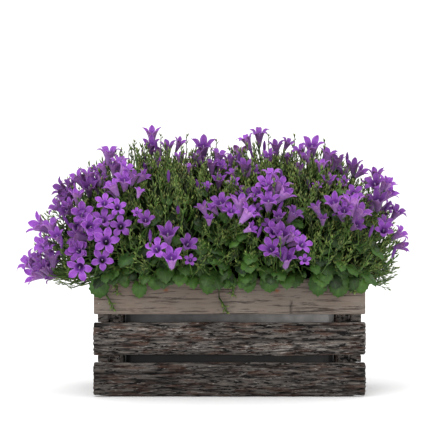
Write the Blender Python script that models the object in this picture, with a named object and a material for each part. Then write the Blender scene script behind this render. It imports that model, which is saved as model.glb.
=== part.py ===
"""Two flowering bellflower plants side by side in a small crate of bark-edged slabs.

The crate stands on z = 0 with its middle at the origin, +X along its length and its front at -Y.
Each flowering stem carries its own blooms, and the leaves and crown stems belong to the plants.
"""

import math
import random

import bmesh
import bpy
from mathutils import Vector
from mathutils.bvhtree import BVHTree

MM = 0.001
UP = Vector((0, 0, 1))

# The crate
CRATE_LENGTH = 225 * MM
CRATE_DEPTH = 125 * MM
CRATE_HEIGHT = 98.1 * MM
BOARD_THICKNESS = 10 * MM
SIDE_THICKNESS = 8.5 * MM
SIDE_SETBACK = 4 * MM
ROWS = {"low": (0, 28.8 * MM), "middle": (33.9 * MM, 62 * MM), "top": (68.5 * MM, CRATE_HEIGHT)}
# A bark slab's section, as (share of its thickness, share of its height), and how uneven its edges are
SLAB_SECTION = ((0, 0), (0.45, 0), (0.92, 0.28), (0.96, 0.64), (0.5, 1), (0, 1))
SLAB_STATIONS = 8
SLAB_EDGE = 0.5 * MM
SLAB_WAVE = 0.35 * MM
BOARD_EASE = 1.2 * MM
GAP = 0.3 * MM
POST_SIDE = 12 * MM
FLOOR_BOARD = (32 * MM, 8 * MM)
FLOOR_PITCH = 35 * MM
BACK_PLANE = CRATE_DEPTH / 2 - BOARD_THICKNESS
SIDE_PLANE = CRATE_LENGTH / 2 - SIDE_SETBACK - SIDE_THICKNESS

# The liner and its soil
LINER_HALF = (SIDE_PLANE - POST_SIDE - 0.9 * MM, BACK_PLANE - 0.7 * MM)
LINER_CORNER = 10 * MM
LINER_WALL = 1.6 * MM
LINER_LOW = FLOOR_BOARD[1] + GAP
LINER_TOP = 93 * MM
SOIL_EDGE = 80 * MM
SOIL_TOP = 84 * MM
SOIL_SLOPE = 14 * MM
SOIL_TOP_CORNER = 6 * MM
SOIL_UNEVEN = 0.8 * MM
HOLE_FLOOR = 70 * MM
STEM_RADIUS = 4 * MM
HOLE_RADIUS = 4.6 * MM
CROWN_STEMS = ((-11 * MM, -5 * MM), (9 * MM, 6 * MM))

# The plants: how far a mound reaches from its middle, left, right, up, down and to the front
PLANTS = {"left": -45.8 * MM, "right": 45.8 * MM}
REACH_LEFT = 129 * MM
REACH_RIGHT = 106 * MM
REACH_UP = 104 * MM
REACH_DOWN = 62 * MM
REACH_FRONT = 106 * MM
MOUND_MIDDLE = 112 * MM
# Each plant's packed core: a round neck in the crate, as (radius, height), and then a dome that follows
# the mound's skin, as (share of the mound's reach, height), a little less deep in front than behind
CORE_MIDDLE = 112 * MM
CORE_NECK = ((26 * MM, 87 * MM), (37 * MM, 92.5 * MM), (46 * MM, 99.5 * MM))
CORE_DOME = (
    (0.55, 104.5 * MM), (0.68, 110 * MM), (0.74, 118 * MM), (0.755, 128 * MM), (0.735, 139 * MM),
    (0.68, 151 * MM), (0.6, 162 * MM), (0.49, 173 * MM), (0.35, 182 * MM), (0.18, 189 * MM),
)
CORE_FRONT_DEPTH = 96 * MM
CORE_SIDES = 16
CORE_BUMP = 5 * MM
CLEARANCE = 0.35 * MM
ROOT_GAP = 0.55 * MM

# Which way a bloom looks: how much of its direction is to the right, and how much up
FACING = {
    "front": (0.05, 0.2), "front_left": (-0.35, 0.3), "front_right": (0.4, 0.3),
    "front_up": (0, 0.6), "front_low": (-0.1, -0.35), "up": (0, 0.93), "up_left": (-0.4, 0.82),
    "up_right": (0.38, 0.84), "left": (-0.88, 0.15), "right": (0.82, 0.35),
    "left_up": (-0.62, 0.68), "right_up": (0.6, 0.62), "left_low": (-0.82, -0.42),
}

# Sprays by the part of the mound that they fill. Each bloom: right of the plant's middle, height,
# where it looks and its span, in mm. A span of 0 is a bud in violet, and -1 a green bud spike.
SPRAYS = {
    "far_left_low": (
        (-124, 106, "left", 20), (-117, 95, "left_low", 18), (-115, 114, "left_up", 15),
        (-105, 120, "up_left", 14), (-99, 116, "up", 15), (-102, 107, "front_up", 14),
        (-102, 97, "left_low", 11), (-92, 93, "left", -1),
    ),
    "far_left_high": (
        (-113, 138, "left", 19), (-102, 141, "up_left", 16), (-98, 155, "left", 14),
        (-89, 145, "left_up", 0), (-91, 128, "up", 0), (-108, 126, "left_up", 12),
    ),
    "left_shoulder": (
        (-96, 170, "left", 16), (-87, 175, "up_left", 14), (-90, 164, "left", 15),
        (-80, 166, "up", 14), (-82, 180, "left_up", 15), (-71, 183, "up", 16),
        (-64, 187, "up", 13), (-60, 181, "up_right", 13), (-71, 172, "front_up", 16),
    ),
    "left_stars": (
        (-74, 152, "front", 17), (-67, 141, "front_right", 18), (-57, 147, "front_up", 16),
        (-79, 132, "left", 16), (-78, 121, "front_left", 17), (-76, 108, "front_low", 18),
    ),
    "middle_stars": (
        (-42, 142, "front", 17), (-54, 130, "front", 20), (-57, 115, "front", 17),
        (-45, 157, "front", 14), (-56, 161, "front_up", 15), (-34, 133, "up", -1),
    ),
    "crown_left": (
        (-55, 201, "up", 17), (-60, 189, "left_up", 9), (-46, 193, "up", 13),
        (-39, 187, "right_up", 14), (-40, 177, "front_up", 16), (-32, 181, "up_right", 12),
        (-24, 180, "right", 11), (-50, 172, "left_up", 13), (-27, 169, "up_right", 8),
        (-33, 206, "up", -1),
    ),
    "crown_top": (
        (-20, 219, "up", 17), (-16, 207, "up", 0), (-26, 200, "up_left", 0),
        (-25, 190, "front_up", 10), (-14, 195, "up", 9), (-6, 208, "up", 15),
        (4, 211, "up_right", 12), (4, 199, "up", 11), (10, 212, "up", -1),
        (-12, 212, "up", -1),
    ),
    "crown_right": (
        (24, 205, "front_up", 17), (18, 197, "left_up", 12), (13, 189, "up", 10),
        (31, 191, "up", 12), (38, 199, "up_right", 14), (46, 195, "up", 12),
        (54, 197, "up", 0), (37, 177, "front_up", 12), (49, 174, "front_left", 11),
        (19, 174, "up_left", 0), (27, 173, "front_up", 8), (35, 207, "up", -1),
    ),
    "shoulder_right": (
        (59, 191, "up", 15), (65, 186, "right_up", 12), (58, 168, "front_up", 14),
        (69, 178, "right_up", -1),
    ),
    "right_upper": (
        (80, 183, "up", 14), (75, 173, "front_left", 15), (88, 173, "right_up", 15),
        (91, 165, "right", 15), (77, 160, "front_up", 16), (87, 156, "right_up", 0),
    ),
    "right_low": (
        (38, 157, "front_left", 14), (47, 151, "front", 12), (54, 159, "up", 16),
        (62, 149, "right", 15), (23, 155, "left_up", 10), (29, 146, "front_up", 8),
    ),
    "right_edge": (
        (98, 151, "right_up", 15), (81, 136, "front", 15), (70, 137, "up_right", 0),
        (98, 133, "right", 14), (90, 119, "up_right", 0), (86, 127, "up", -1),
    ),
    "low_middle": (
        (-4, 134, "front_up", 16), (-13, 122, "front_left", 15), (-1, 115, "front_up", 16),
        (12, 126, "front_right", 13), (14, 114, "front", 8), (22, 124, "up", -1),
    ),
    "small_star": (
        (-22, 147, "front_up", 14), (-29, 153, "front_up", 8), (-18, 134, "up", 0),
        (-6, 152, "up", -1), (-14, 160, "up", -1),
    ),
    "middle_spikes": (
        (4, 170, "up", -1), (12, 162, "up_left", -1), (-4, 182, "up", 0),
        (-10, 174, "up", -1), (20, 166, "up", -1), (4, 155, "front_up", 0),
    ),
}
RIGHT_SPRAYS = (
    "crown_top", "crown_right", "shoulder_right", "right_upper", "right_low", "right_edge",
    "low_middle", "middle_spikes",
)
REAR_SPRAYS = ("left_stars", "middle_stars", "crown_left", "low_middle")
# How far forward of the mounds' crest a spray stands, as a share of the surface's depth
DEPTH_SHARE = {"crown_top": 0.35, "crown_right": 0.55, "shoulder_right": 0.6, "left_shoulder": 0.7}
REAR_SHARE = {"crown_left": 0.6}
REAR_DEPTH = 38 * MM

# Leaves that hang over the rim: right of the left plant's middle, height of the middle, length, in mm
RIM_LEAVES = (
    (-62, 90, 18), (-40, 80, 14), (-28, 89, 15), (-14, 95, 14), (0, 87, 15), (12, 85, 17),
    (29, 94, 19), (38, 88, 14), (48, 80, 16), (62, 93, 14), (78, 94, 16), (91, 88, 14),
    (103, 86, 17), (119, 93, 20), (136, 90, 16), (153, 92, 14),
)
# A bloom, in shares of its span from tip to tip: how high and how far out its parts lie
BELL_DEPTH = 0.5
CUP_HEIGHT = 0.26
NOTCH_RADIUS = 0.2
NOTCH_HEIGHT = 0.4
TIP_RADIUS = 0.5
TIP_HEIGHT = 0.63
RIB_RADIUS = 0.29
RIB_HEIGHT = 0.545
LOBE_TURN = 0.42
LOBE_RADIUS = 0.39
LOBE_HEIGHT = 0.6
CALYX_BELOW = (0, 0, 1, 1, 2)
CALYX_RADIUS = 1.4 * MM
BUD_LENGTH = 12 * MM
SPIKE_LENGTH = 9 * MM
BUD_WIDTH = 4.6 * MM
BUD_FOOT_RADIUS = 0.6 * MM
STALK_TURNS = [2 * math.pi * k / 3 + 1.3 for k in range(3)]
STALK_RADIUS = 0.55 * MM
# A spray's stem swells to a hub that its pedicels start from, at the first share of its length with room
HUB_SHARES = (0.35, 0.5, 0.2, 0.65)
HUB_RADII = (0.3 * MM, 2 * MM, 0.8 * MM)
HUB_TIP = 2 * MM
SHORTEST_STEM = 12 * MM
LOBED_SPAN = 17.5 * MM
# How an item is moved back along the line of sight until it is clear
DEPTH_SHIFTS = tuple(shift * MM for shift in (0, 4, -4, 8, -8, 12, -12, 16))
BEHIND = -0.3
FORK_SHARE = 0.6
OVERLAP = 0.2 * MM
# The length of a pedicel that must keep clear of its own spray: less this at its root and at its foot
STALK_FREE = 3 * MM
STALK_SHORT = 1 * MM
FREE_RADII = (0.5 * MM, 0.9 * MM)
BLOOM_BACK = 0.55
BUD_BACK = 5 * MM
# A leaf's half outline, in shares of its length; how much it cups; and how thick it is at its middle
LEAF_OUTLINE = ((0, 0.1), (0.26, -0.06), (0.52, 0.22), (0.38, 0.4), (0.42, 0.58), (0, 1))
LEAF_DROOP = 0.12
LEAF_MIDDLE = 0.42
LEAF_HOLLOW = 0.05
LEAF_THICKNESS = 1.1 * MM
# A rim leaf stands this far in front of the crate, on a petiole from the core over the rim
RIM_OFF = 3.5 * MM
RIM_TOUCH = 0.5 * MM
RIM_OVER = 3 * MM
PETIOLE_ROOT = (0.72, 38 * MM, CRATE_HEIGHT + 7 * MM)
PETIOLE_REACH = 50 * MM
PETIOLE_RADII = (1 * MM, 0.9 * MM, 0.6 * MM)
# Leaves on the core, from its waist to near its top, every third one standing further out
LEAVES_PER_PLANT = 34
LEAF_SPAN = (14 * MM, 20 * MM)
LOWEST_RISE = -0.05
HIGHEST_RISE = 0.9
LEAF_REACHES = (0, 6 * MM)
FAR_LEAF_REACHES = (12 * MM, 6 * MM, 0)
LEAF_SINK = 1.5 * MM
LEAF_LOWEST = 100 * MM
LEAF_STALK_RADII = (1 * MM, 0.7 * MM)
STALK_SUNK = 4 * MM
STALK_SHARE = 0.3
STALK_UNDER = 0.35 * MM
SEAM_CLEAR = 3 * MM
GOLDEN_TURN = math.pi * (3 - math.sqrt(5))


def material(name, colour, roughness):
    made = bpy.data.materials.new(name)
    made.use_nodes = True
    shader = made.node_tree.nodes["Principled BSDF"]
    shader.inputs["Base Color"].default_value = (*colour, 1)
    shader.inputs["Roughness"].default_value = roughness
    return made


def clear_scene():
    for obj in list(bpy.data.objects):
        bpy.data.objects.remove(obj, do_unlink=True)


def add_object(name, points, faces, materials, face_materials=None):
    """A closed mesh from points in metres, with its faces turned outwards."""
    mesh = bpy.data.meshes.new(name)
    mesh.from_pydata([tuple(point) for point in points], [], faces)
    for each in materials:
        mesh.materials.append(each)
    if face_materials:
        mesh.polygons.foreach_set("material_index", face_materials)
    form = bmesh.new()
    form.from_mesh(mesh)
    bmesh.ops.recalc_face_normals(form, faces=form.faces)
    if form.calc_volume(signed=True) < 0:
        bmesh.ops.reverse_faces(form, faces=form.faces)
    form.to_mesh(mesh)
    form.free()
    made = bpy.data.objects.new(name, mesh)
    bpy.context.scene.collection.objects.link(made)
    return made


# Shapes, each as (points, faces)

def loft(rings):
    """Closed rings of the same count joined in order, with flat ends."""
    count = len(rings[0])
    points = [point for ring in rings for point in ring]
    faces = [tuple(range(count))[::-1]]
    for step in range(len(rings) - 1):
        first = step * count
        for i in range(count):
            j = (i + 1) % count
            faces.append((first + i, first + j, first + count + j, first + count + i))
    last = (len(rings) - 1) * count
    faces.append(tuple(range(last, last + count)))
    return points, faces


def frame_along(direction):
    """Two unit vectors square to a direction."""
    side = direction.cross(UP if abs(direction.z) < 0.9 else Vector((0, 1, 0))).normalized()
    return side, direction.cross(side).normalized()


def tube(path, radii, sides=3):
    """A stem along a few points."""
    rings = []
    for i, point in enumerate(path):
        along = path[min(i + 1, len(path) - 1)] - path[max(i - 1, 0)]
        side, other = frame_along(along.normalized())
        rings.append([
            point + (side * math.cos(turn) + other * math.sin(turn)) * radii[i]
            for turn in (2 * math.pi * k / sides for k in range(sides))
        ])
    return loft(rings)


def bloom(mouth, facing, span, start, lobed=True):
    """A bell of five lobes on its pedicel, closed: flat-backed, and raised inside along each lobe."""
    side, other = frame_along(facing)
    base = mouth - facing * (BELL_DEPTH * span)

    def at(turn, radius, height):
        return base + (side * math.cos(turn) + other * math.sin(turn)) * radius + facing * (height * span)

    points = [at(turn, CALYX_RADIUS, 0) for turn in STALK_TURNS]
    points += stalk_ring(start, base, side)
    points.append(base + facing * (CUP_HEIGHT * span))
    cup = len(points) - 1
    faces = [(3, 5, 4)] + [(k, (k + 1) % 3, 3 + (k + 1) % 3, 3 + k) for k in range(3)]
    step = 5 if lobed else 3
    first = len(points)
    for lobe in range(5):
        middle = 2 * math.pi * (lobe + 0.5) / 5
        points.append(at(2 * math.pi * lobe / 5, NOTCH_RADIUS * span, NOTCH_HEIGHT))
        points.append(at(middle, TIP_RADIUS * span, TIP_HEIGHT))
        points.append(at(middle, RIB_RADIUS * span, RIB_HEIGHT))
        if lobed:
            points.append(at(middle - LOBE_TURN, LOBE_RADIUS * span, LOBE_HEIGHT))
            points.append(at(middle + LOBE_TURN, LOBE_RADIUS * span, LOBE_HEIGHT))
    notches = [first + lobe * step for lobe in range(5)]
    for lobe, notch in enumerate(notches):
        after = notches[(lobe + 1) % 5]
        tip, rib = notch + 1, notch + 2
        faces += [(cup, notch, rib), (cup, rib, after), (CALYX_BELOW[lobe], after, notch)]
        if lobed:
            low, high = notch + 3, notch + 4
            faces += [(notch, tip, low), (notch, after, tip), (after, high, tip)]
            faces += [(rib, notch, low), (rib, low, tip), (rib, tip, high), (rib, high, after)]
        else:
            faces += [(notch, after, tip), (rib, notch, tip), (rib, tip, after)]
    for lobe in range(5):
        below, behind = CALYX_BELOW[lobe], CALYX_BELOW[lobe - 1]
        if below != behind:
            faces.append((behind, below, notches[lobe]))
    return points, faces


def stalk_ring(start, foot, side):
    """Three points round a pedicel's root, in step with those at its foot."""
    along = (foot - start).normalized()
    level = (side - along * side.dot(along)).normalized()
    other = along.cross(level)
    return [start + (level * math.cos(turn) + other * math.sin(turn)) * STALK_RADIUS for turn in STALK_TURNS]


def bud(middle, facing, length, width, start):
    """A three-sided spindle on its pedicel."""
    side, other = frame_along(facing)
    foot = middle - facing * (0.5 * length)
    points = stalk_ring(start, foot, side)
    for centre, radius in ((foot, BUD_FOOT_RADIUS), (middle, 0.5 * width)):
        for turn in STALK_TURNS:
            points.append(centre + (side * math.cos(turn) + other * math.sin(turn)) * radius)
    points.append(middle + facing * (0.5 * length))
    faces = [(0, 2, 1)]
    for k in range(3):
        low, high = k, (k + 1) % 3
        faces += [(low, high, high + 3, low + 3), (low + 3, high + 3, high + 6, low + 6)]
        faces.append((9, low + 6, high + 6))
    return points, faces


def leaf(base, along, normal, length):
    """A toothed blade, thickest at its middle and cupped."""
    across = along.cross(normal).normalized()
    outline = LEAF_OUTLINE + tuple((-x, y) for x, y in LEAF_OUTLINE[-2:0:-1])
    points = [
        base + across * (x * length) + along * (y * length) - normal * (LEAF_DROOP * length * y * y)
        for x, y in outline
    ]
    count = len(points)
    middle = base + along * (LEAF_MIDDLE * length) - normal * (LEAF_HOLLOW * length)
    points += [middle, middle - normal * LEAF_THICKNESS]
    faces = []
    for i in range(count):
        j = (i + 1) % count
        faces += [(count, i, j), (count + 1, j, i)]
    return points, faces


def core(middle):
    """The packed heart of a plant: a bumpy dome, flat where it meets its neighbour."""
    inward = -1 if middle > 0 else 1
    rows = [(radius, radius, radius, radius, height, 0) for radius, height in CORE_NECK]
    for share, height in CORE_DOME:
        reaches = [share * reach for reach in (REACH_LEFT, REACH_RIGHT, CORE_FRONT_DEPTH, REACH_FRONT)]
        rows.append((*reaches, height, CORE_BUMP))
    rings = []
    for row, (left, right, front, rear, height, bump) in enumerate(rows):
        ring = []
        for k in range(CORE_SIDES):
            turn = 2 * math.pi * (k + 0.5 * (row % 2)) / CORE_SIDES
            out = Vector((math.cos(turn), math.sin(turn)))
            push = bump * math.cos(math.pi * k + row)
            x = middle + out.x * (push + (left if out.x < 0 else right))
            y = out.y * (push + (front if out.y < 0 else rear))
            if x * inward > -GAP:
                x = -GAP * inward
            ring.append(Vector((x, y, height)))
        rings.append(ring)
    return loft(rings)


def box_shape(low, high):
    corners = [
        Vector((x, y, z)) for x in (low[0], high[0]) for y in (low[1], high[1]) for z in (low[2], high[2])
    ]
    return corners, [(0, 1, 3, 2), (4, 6, 7, 5), (0, 4, 5, 1), (2, 3, 7, 6), (0, 2, 6, 4), (1, 5, 7, 3)]


# Where things grow

def triangles(shape):
    points, faces = shape
    cut = [(face[0], face[i], face[i + 1]) for face in faces for i in range(1, len(face) - 1)]
    return points, cut


def grown(shape, amount):
    """The shape moved outwards all over by an amount."""
    points, faces = triangles(shape)
    normals = [Vector() for _ in points]
    for a, b, c in faces:
        normal = (points[b] - points[a]).cross(points[c] - points[a]).normalized()
        for corner in (a, b, c):
            normals[corner] += normal
    return [point + normal.normalized() * amount for point, normal in zip(points, normals)], faces


class Room:
    """What is placed so far, so that a new piece keeps clear of it."""

    def __init__(self):
        self.trees = []

    def is_clear(self, node, shape, own_too=False):
        """Whether a shape is clear of every other node's, and if own_too of its own node's as well."""
        tree = BVHTree.FromPolygons(*grown(shape, CLEARANCE))
        return not any((own_too or owner != node) and tree.overlap(other) for owner, other in self.trees)

    def add(self, node, shape):
        self.trees.append((node, BVHTree.FromPolygons(*triangles(shape))))


def depth_at(x, z):
    """How far forward the surface of the two mounds together lies, seen from the front."""
    upward = (z - MOUND_MIDDLE) / (REACH_UP if z > MOUND_MIDDLE else REACH_DOWN)
    depths = []
    for middle in PLANTS.values():
        across = (x - middle) / (REACH_LEFT if x < middle else REACH_RIGHT)
        depths.append(math.sqrt(max(0, 1 - across * across - upward * upward)))
    return REACH_FRONT * max(depths)


def looking(name):
    right, up = FACING[name]
    return Vector((right, -math.sqrt(max(0, 1 - right * right - up * up)), up)).normalized()


def item_shape(mouth, facing, span, start, lobed):
    """The bloom, bud or spike on its pedicel."""
    if span > 0:
        return bloom(mouth, facing, span, start, lobed)
    length = BUD_LENGTH if span == 0 else SPIKE_LENGTH
    return bud(mouth, facing, length, BUD_WIDTH, start)


def foot_of(mouth, facing, span):
    """Where an item's pedicel ends."""
    if span > 0:
        return mouth - facing * (BELL_DEPTH * span)
    return mouth - facing * (0.5 * (BUD_LENGTH if span == 0 else SPIKE_LENGTH))


def grow_spray(room, node, middle, items, turned, share, cores):
    """Place one spray: its stem off the nearest core's surface, then each item with its pedicel."""
    placed = []
    for right, height, facing, span in items:
        x = (-middle if turned else middle) + right * MM
        mouth = Vector((x, -share * depth_at(x, height * MM), height * MM))
        way = looking(facing)
        if turned:
            if mouth.y > -REAR_DEPTH * share:
                continue
            mouth = Vector((-mouth.x, -mouth.y, mouth.z))
            way = Vector((-way.x, -way.y, way.z))
        placed.append((mouth, way, span * MM if span > 0 else span))
    if len(placed) < 2:
        return None
    foot_middle = sum((foot_of(*each) for each in placed), Vector()) / len(placed)
    side = min(PLANTS, key=lambda each: abs(PLANTS[each] - foot_middle.x))
    heart = Vector((PLANTS[side], 0, CORE_MIDDLE))
    outward = (foot_middle - heart).normalized()
    root = cores[side][1].ray_cast(heart, outward)[0] + outward * ROOT_GAP
    for part in HUB_SHARES:
        hub = root + outward * (part * max(SHORTEST_STEM, (foot_middle - root).length))
        stem = tube([root, hub, hub + outward * HUB_TIP], HUB_RADII)
        if room.is_clear(node, stem):
            break
    room.add(node, stem)
    spray = {"node": node, "shapes": [(stem, 1)]}
    starts = [hub]
    for mouth, way, span in placed:
        found = place_item(room, node, starts, mouth, way, span, not turned)
        if found is None:
            continue
        mouth, start, shape = found
        room.add(node, shape)
        if span > 0:
            starts.append(start.lerp(foot_of(mouth, way, span), FORK_SHARE))
        spray["shapes"].append((shape, 1 if span == -1 else 0))
    return spray


def place_item(room, node, starts, mouth, way, span, front):
    """The first place along the line of sight where an item is clear, on a pedicel from the spray's stem."""
    for own_too in (True, False):
        for shift in DEPTH_SHIFTS:
            moved = mouth + Vector((0, shift if front else -shift, 0))
            if not clear_of_own(room, node, moved, way, span):
                continue
            foot = foot_of(moved, way, span)
            for start in sorted(starts, key=lambda each: (each - foot).length):
                along = (foot - start).normalized()
                if along.dot(way) < (0 if own_too else BEHIND):
                    continue
                inside = start - along * OVERLAP
                shape = item_shape(moved, way, span, inside, front and span > LOBED_SPAN)
                ends = [start + along * STALK_FREE, foot - along * STALK_SHORT]
                if room.is_clear(node, shape) and (
                        not own_too or room.is_clear(node, tube(ends, FREE_RADII), True)):
                    return moved, inside, shape
    return None


def clear_of_own(room, node, mouth, way, span):
    """Whether an item's own form, without its pedicel, is clear of its spray's other items."""
    near = mouth - way * max(BLOOM_BACK * span, BUD_BACK)
    return room.is_clear(node, item_shape(mouth, way, span, near, False), True)


def rim_leaf(room, node, middle, right, height, length, front):
    """A leaf that hangs over the rim, on a petiole that clears the top board."""
    face = -1 if front else 1
    x = (PLANTS["left"] + right * MM) * (1 if front else -1)
    base = Vector((x, face * (CRATE_DEPTH / 2 + RIM_OFF), height * MM + 0.5 * length))
    rim = Vector((x, face * (CRATE_DEPTH / 2 + RIM_TOUCH), max(CRATE_HEIGHT + RIM_OVER, base.z)))
    share, forward, level = PETIOLE_ROOT
    inner = Vector((middle + (x - middle) * share, face * forward, level))
    centre = Vector((middle, 0, level))
    if (inner - centre).length > PETIOLE_REACH:
        inner = centre + (inner - centre).normalized() * PETIOLE_REACH
    along = Vector((0.12 * math.sin(right), face * 0.1, -1)).normalized()
    normal = Vector((0, face, -0.1))
    blade = leaf(base, along, normal, length)
    stalk = tube([inner, rim, base + along * 2 * MM], PETIOLE_RADII)
    if room.is_clear(node, blade) and room.is_clear(node, stalk):
        room.add(node, blade)
        room.add(node, stalk)
        return [blade, stalk]
    return None


def mound_leaves(room, node, middle, core_tree, draw):
    """Leaves that stand out of the core all round, on a spiral, wherever there is room."""
    found = []
    heart = Vector((middle, 0, CORE_MIDDLE))
    for k in range(LEAVES_PER_PLANT):
        rise = LOWEST_RISE + (HIGHEST_RISE - LOWEST_RISE) * (k + 0.5) / LEAVES_PER_PLANT
        turn = k * GOLDEN_TURN
        flat = math.sqrt(1 - rise * rise)
        outward = Vector((flat * math.cos(turn), flat * math.sin(turn), rise))
        length = draw.uniform(*LEAF_SPAN)
        lean = Vector((draw.uniform(-0.3, 0.3), draw.uniform(-0.3, 0.3), draw.uniform(-0.3, 0.1)))
        hit = core_tree.ray_cast(heart, outward)[0]
        if abs(hit.x) < SEAM_CLEAR:
            continue
        down = (outward * 0.75 - UP * 0.6 + lean).normalized()
        normal = (outward * 0.7 + UP * 0.7).normalized()
        along = (down - normal * down.dot(normal) * 0.8).normalized()
        normal = (normal - along * normal.dot(along)).normalized()
        for reach in LEAF_REACHES if k % 3 else FAR_LEAF_REACHES:
            base = hit + outward * (reach - LEAF_SINK)
            blade = leaf(base, along, normal, length)
            under = STALK_UNDER + LEAF_HOLLOW * STALK_SHARE / LEAF_MIDDLE * length
            path = [hit - outward * STALK_SUNK, base + along * STALK_SHARE * length - normal * under]
            shapes = [blade, tube(path, LEAF_STALK_RADII)] if reach else [blade]
            low = min(point.z for point in blade[0])
            if low > LEAF_LOWEST and room.is_clear(node, blade) and room.is_clear(node, shapes[-1]):
                room.add(node, blade)
                found += shapes
                break
    return found


def grow_plants():
    """Every spray and leaf, in the order in which they take their room."""
    room = Room()
    room.add("crate", box_shape(
        (-CRATE_LENGTH / 2, -CRATE_DEPTH / 2 - 1 * MM, 0), (CRATE_LENGTH / 2, -BACK_PLANE, CRATE_HEIGHT)))
    room.add("crate", box_shape(
        (-CRATE_LENGTH / 2, BACK_PLANE, 0), (CRATE_LENGTH / 2, CRATE_DEPTH / 2 + 1 * MM, CRATE_HEIGHT)))
    for sign in (-1, 1):
        ends = sorted((sign * SIDE_PLANE, sign * (CRATE_LENGTH / 2 - SIDE_SETBACK + 1 * MM)))
        room.add("crate", box_shape((ends[0], -BACK_PLANE, 0), (ends[1], BACK_PLANE, CRATE_HEIGHT)))
    cores = {}
    for side, middle in PLANTS.items():
        shape = core(middle)
        cores[side] = (shape, BVHTree.FromPolygons(*triangles(shape)))
        room.add("plant_" + side, shape)
    sprays = []
    for side, middle in PLANTS.items():
        for name in SPRAYS if side == "left" else RIGHT_SPRAYS:
            node = f"spray_{side}_{name}"
            share = DEPTH_SHARE.get(name, 1)
            sprays.append(grow_spray(room, node, middle, SPRAYS[name], False, share, cores))
    for side, middle in PLANTS.items():
        for name in REAR_SPRAYS:
            node = f"spray_{side}_rear_{name}"
            share = REAR_SHARE.get(name, 1)
            sprays.append(grow_spray(room, node, middle, SPRAYS[name], True, share, cores))
    sprays = [spray for spray in sprays if spray and len(spray["shapes"]) > 2]
    leaves = {}
    for side, middle in PLANTS.items():
        node = "plant_" + side
        leaves[side] = []
        for front in (True, False):
            for right, height, length in RIM_LEAVES[:: 1 if front else 2]:
                x = PLANTS["left"] + right * MM
                x = x if front else -x
                if (x < 0) == (side == "left"):
                    made = rim_leaf(room, node, middle, right, height, length * MM, front)
                    if made:
                        leaves[side] += made
        leaves[side] += mound_leaves(room, node, middle, cores[side][1], random.Random(side))
    return cores, sprays, leaves


# Solids

def fuse(name, shapes, materials):
    """One solid from closed shapes that overlap, each with the number of its material."""
    objects = []
    for i, (shape, number) in enumerate(shapes):
        points, faces = triangles(shape)
        objects.append(add_object(f"{name}_{i}", points, faces, materials, [number] * len(faces)))
    base, others = objects[0], objects[1:]
    gathered = bpy.data.collections.new(name + "_pieces")
    bpy.context.scene.collection.children.link(gathered)
    for piece in others:
        bpy.context.scene.collection.objects.unlink(piece)
        gathered.objects.link(piece)
    union = base.modifiers.new("join", "BOOLEAN")
    union.operation = "UNION"
    union.operand_type = "COLLECTION"
    union.collection = gathered
    union.solver = "MANIFOLD"
    graph = bpy.context.evaluated_depsgraph_get()
    joined = bpy.data.meshes.new_from_object(base.evaluated_get(graph))
    for piece in objects:
        bpy.data.objects.remove(piece, do_unlink=True)
    bpy.data.collections.remove(gathered)
    keep_largest(joined)
    made = bpy.data.objects.new(name, joined)
    bpy.context.scene.collection.objects.link(made)
    return made


def keep_largest(mesh):
    """Drop loose scraps and sealed hollows: only the body with the most volume stays."""
    form = bmesh.new()
    form.from_mesh(mesh)
    bmesh.ops.triangulate(form, faces=form.faces)
    bodies = []
    unseen = set(form.faces)
    while unseen:
        wave = [unseen.pop()]
        body = set(wave)
        while wave:
            for edge in wave.pop().edges:
                for face in edge.link_faces:
                    if face in unseen:
                        unseen.discard(face)
                        body.add(face)
                        wave.append(face)
        bodies.append(body)
    bodies.sort(key=volume_of)
    for body in bodies[:-1]:
        bmesh.ops.delete(form, geom=list(body), context="FACES")
    form.to_mesh(mesh)
    form.free()


def volume_of(faces):
    total = 0
    for face in faces:
        a, b, c = (vertex.co for vertex in face.verts)
        total += a.dot(b.cross(c)) / 6
    return total


def bark_slab(name, length, row, thickness, seed, skin):
    """A slab with its bark on, flat at the back and round in front, uneven along its edges."""
    low, high = row
    draw = random.Random(seed)
    phases = [draw.uniform(0, 2 * math.pi) for _ in range(4)]
    rings = []
    for i in range(SLAB_STATIONS):
        u = i / (SLAB_STATIONS - 1)
        wave = math.sin(7 * u + phases[0]) + 0.6 * math.sin(17 * u + phases[1])
        bulge = 1 + 0.05 * math.sin(9 * u + phases[2]) + 0.04 * math.sin(23 * u + phases[3])
        bottom = max(low, low + SLAB_EDGE + SLAB_WAVE * wave)
        top = high - SLAB_EDGE + SLAB_WAVE * math.sin(11 * u + phases[2])
        ring = []
        for out, up in SLAB_SECTION:
            front = -out * thickness * (bulge if out > 0.5 else 1)
            ring.append(Vector(((u - 0.5) * length, front, bottom + up * (top - bottom))))
        rings.append(ring)
    points, faces = loft(rings)
    return add_object(name, points, faces, [skin])


def sawn_board(name, length, row, thickness, skin):
    """A sawn board with its long edges eased."""
    low, high = row
    front, eased = -thickness, BOARD_EASE - thickness
    section = (
        (0, low), (eased, low), (front, low + BOARD_EASE),
        (front, high - BOARD_EASE), (eased, high), (0, high),
    )
    rings = [[Vector((end * length / 2, y, z)) for y, z in section] for end in (-1, 1)]
    points, faces = loft(rings)
    return add_object(name, points, faces, [skin])


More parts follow.
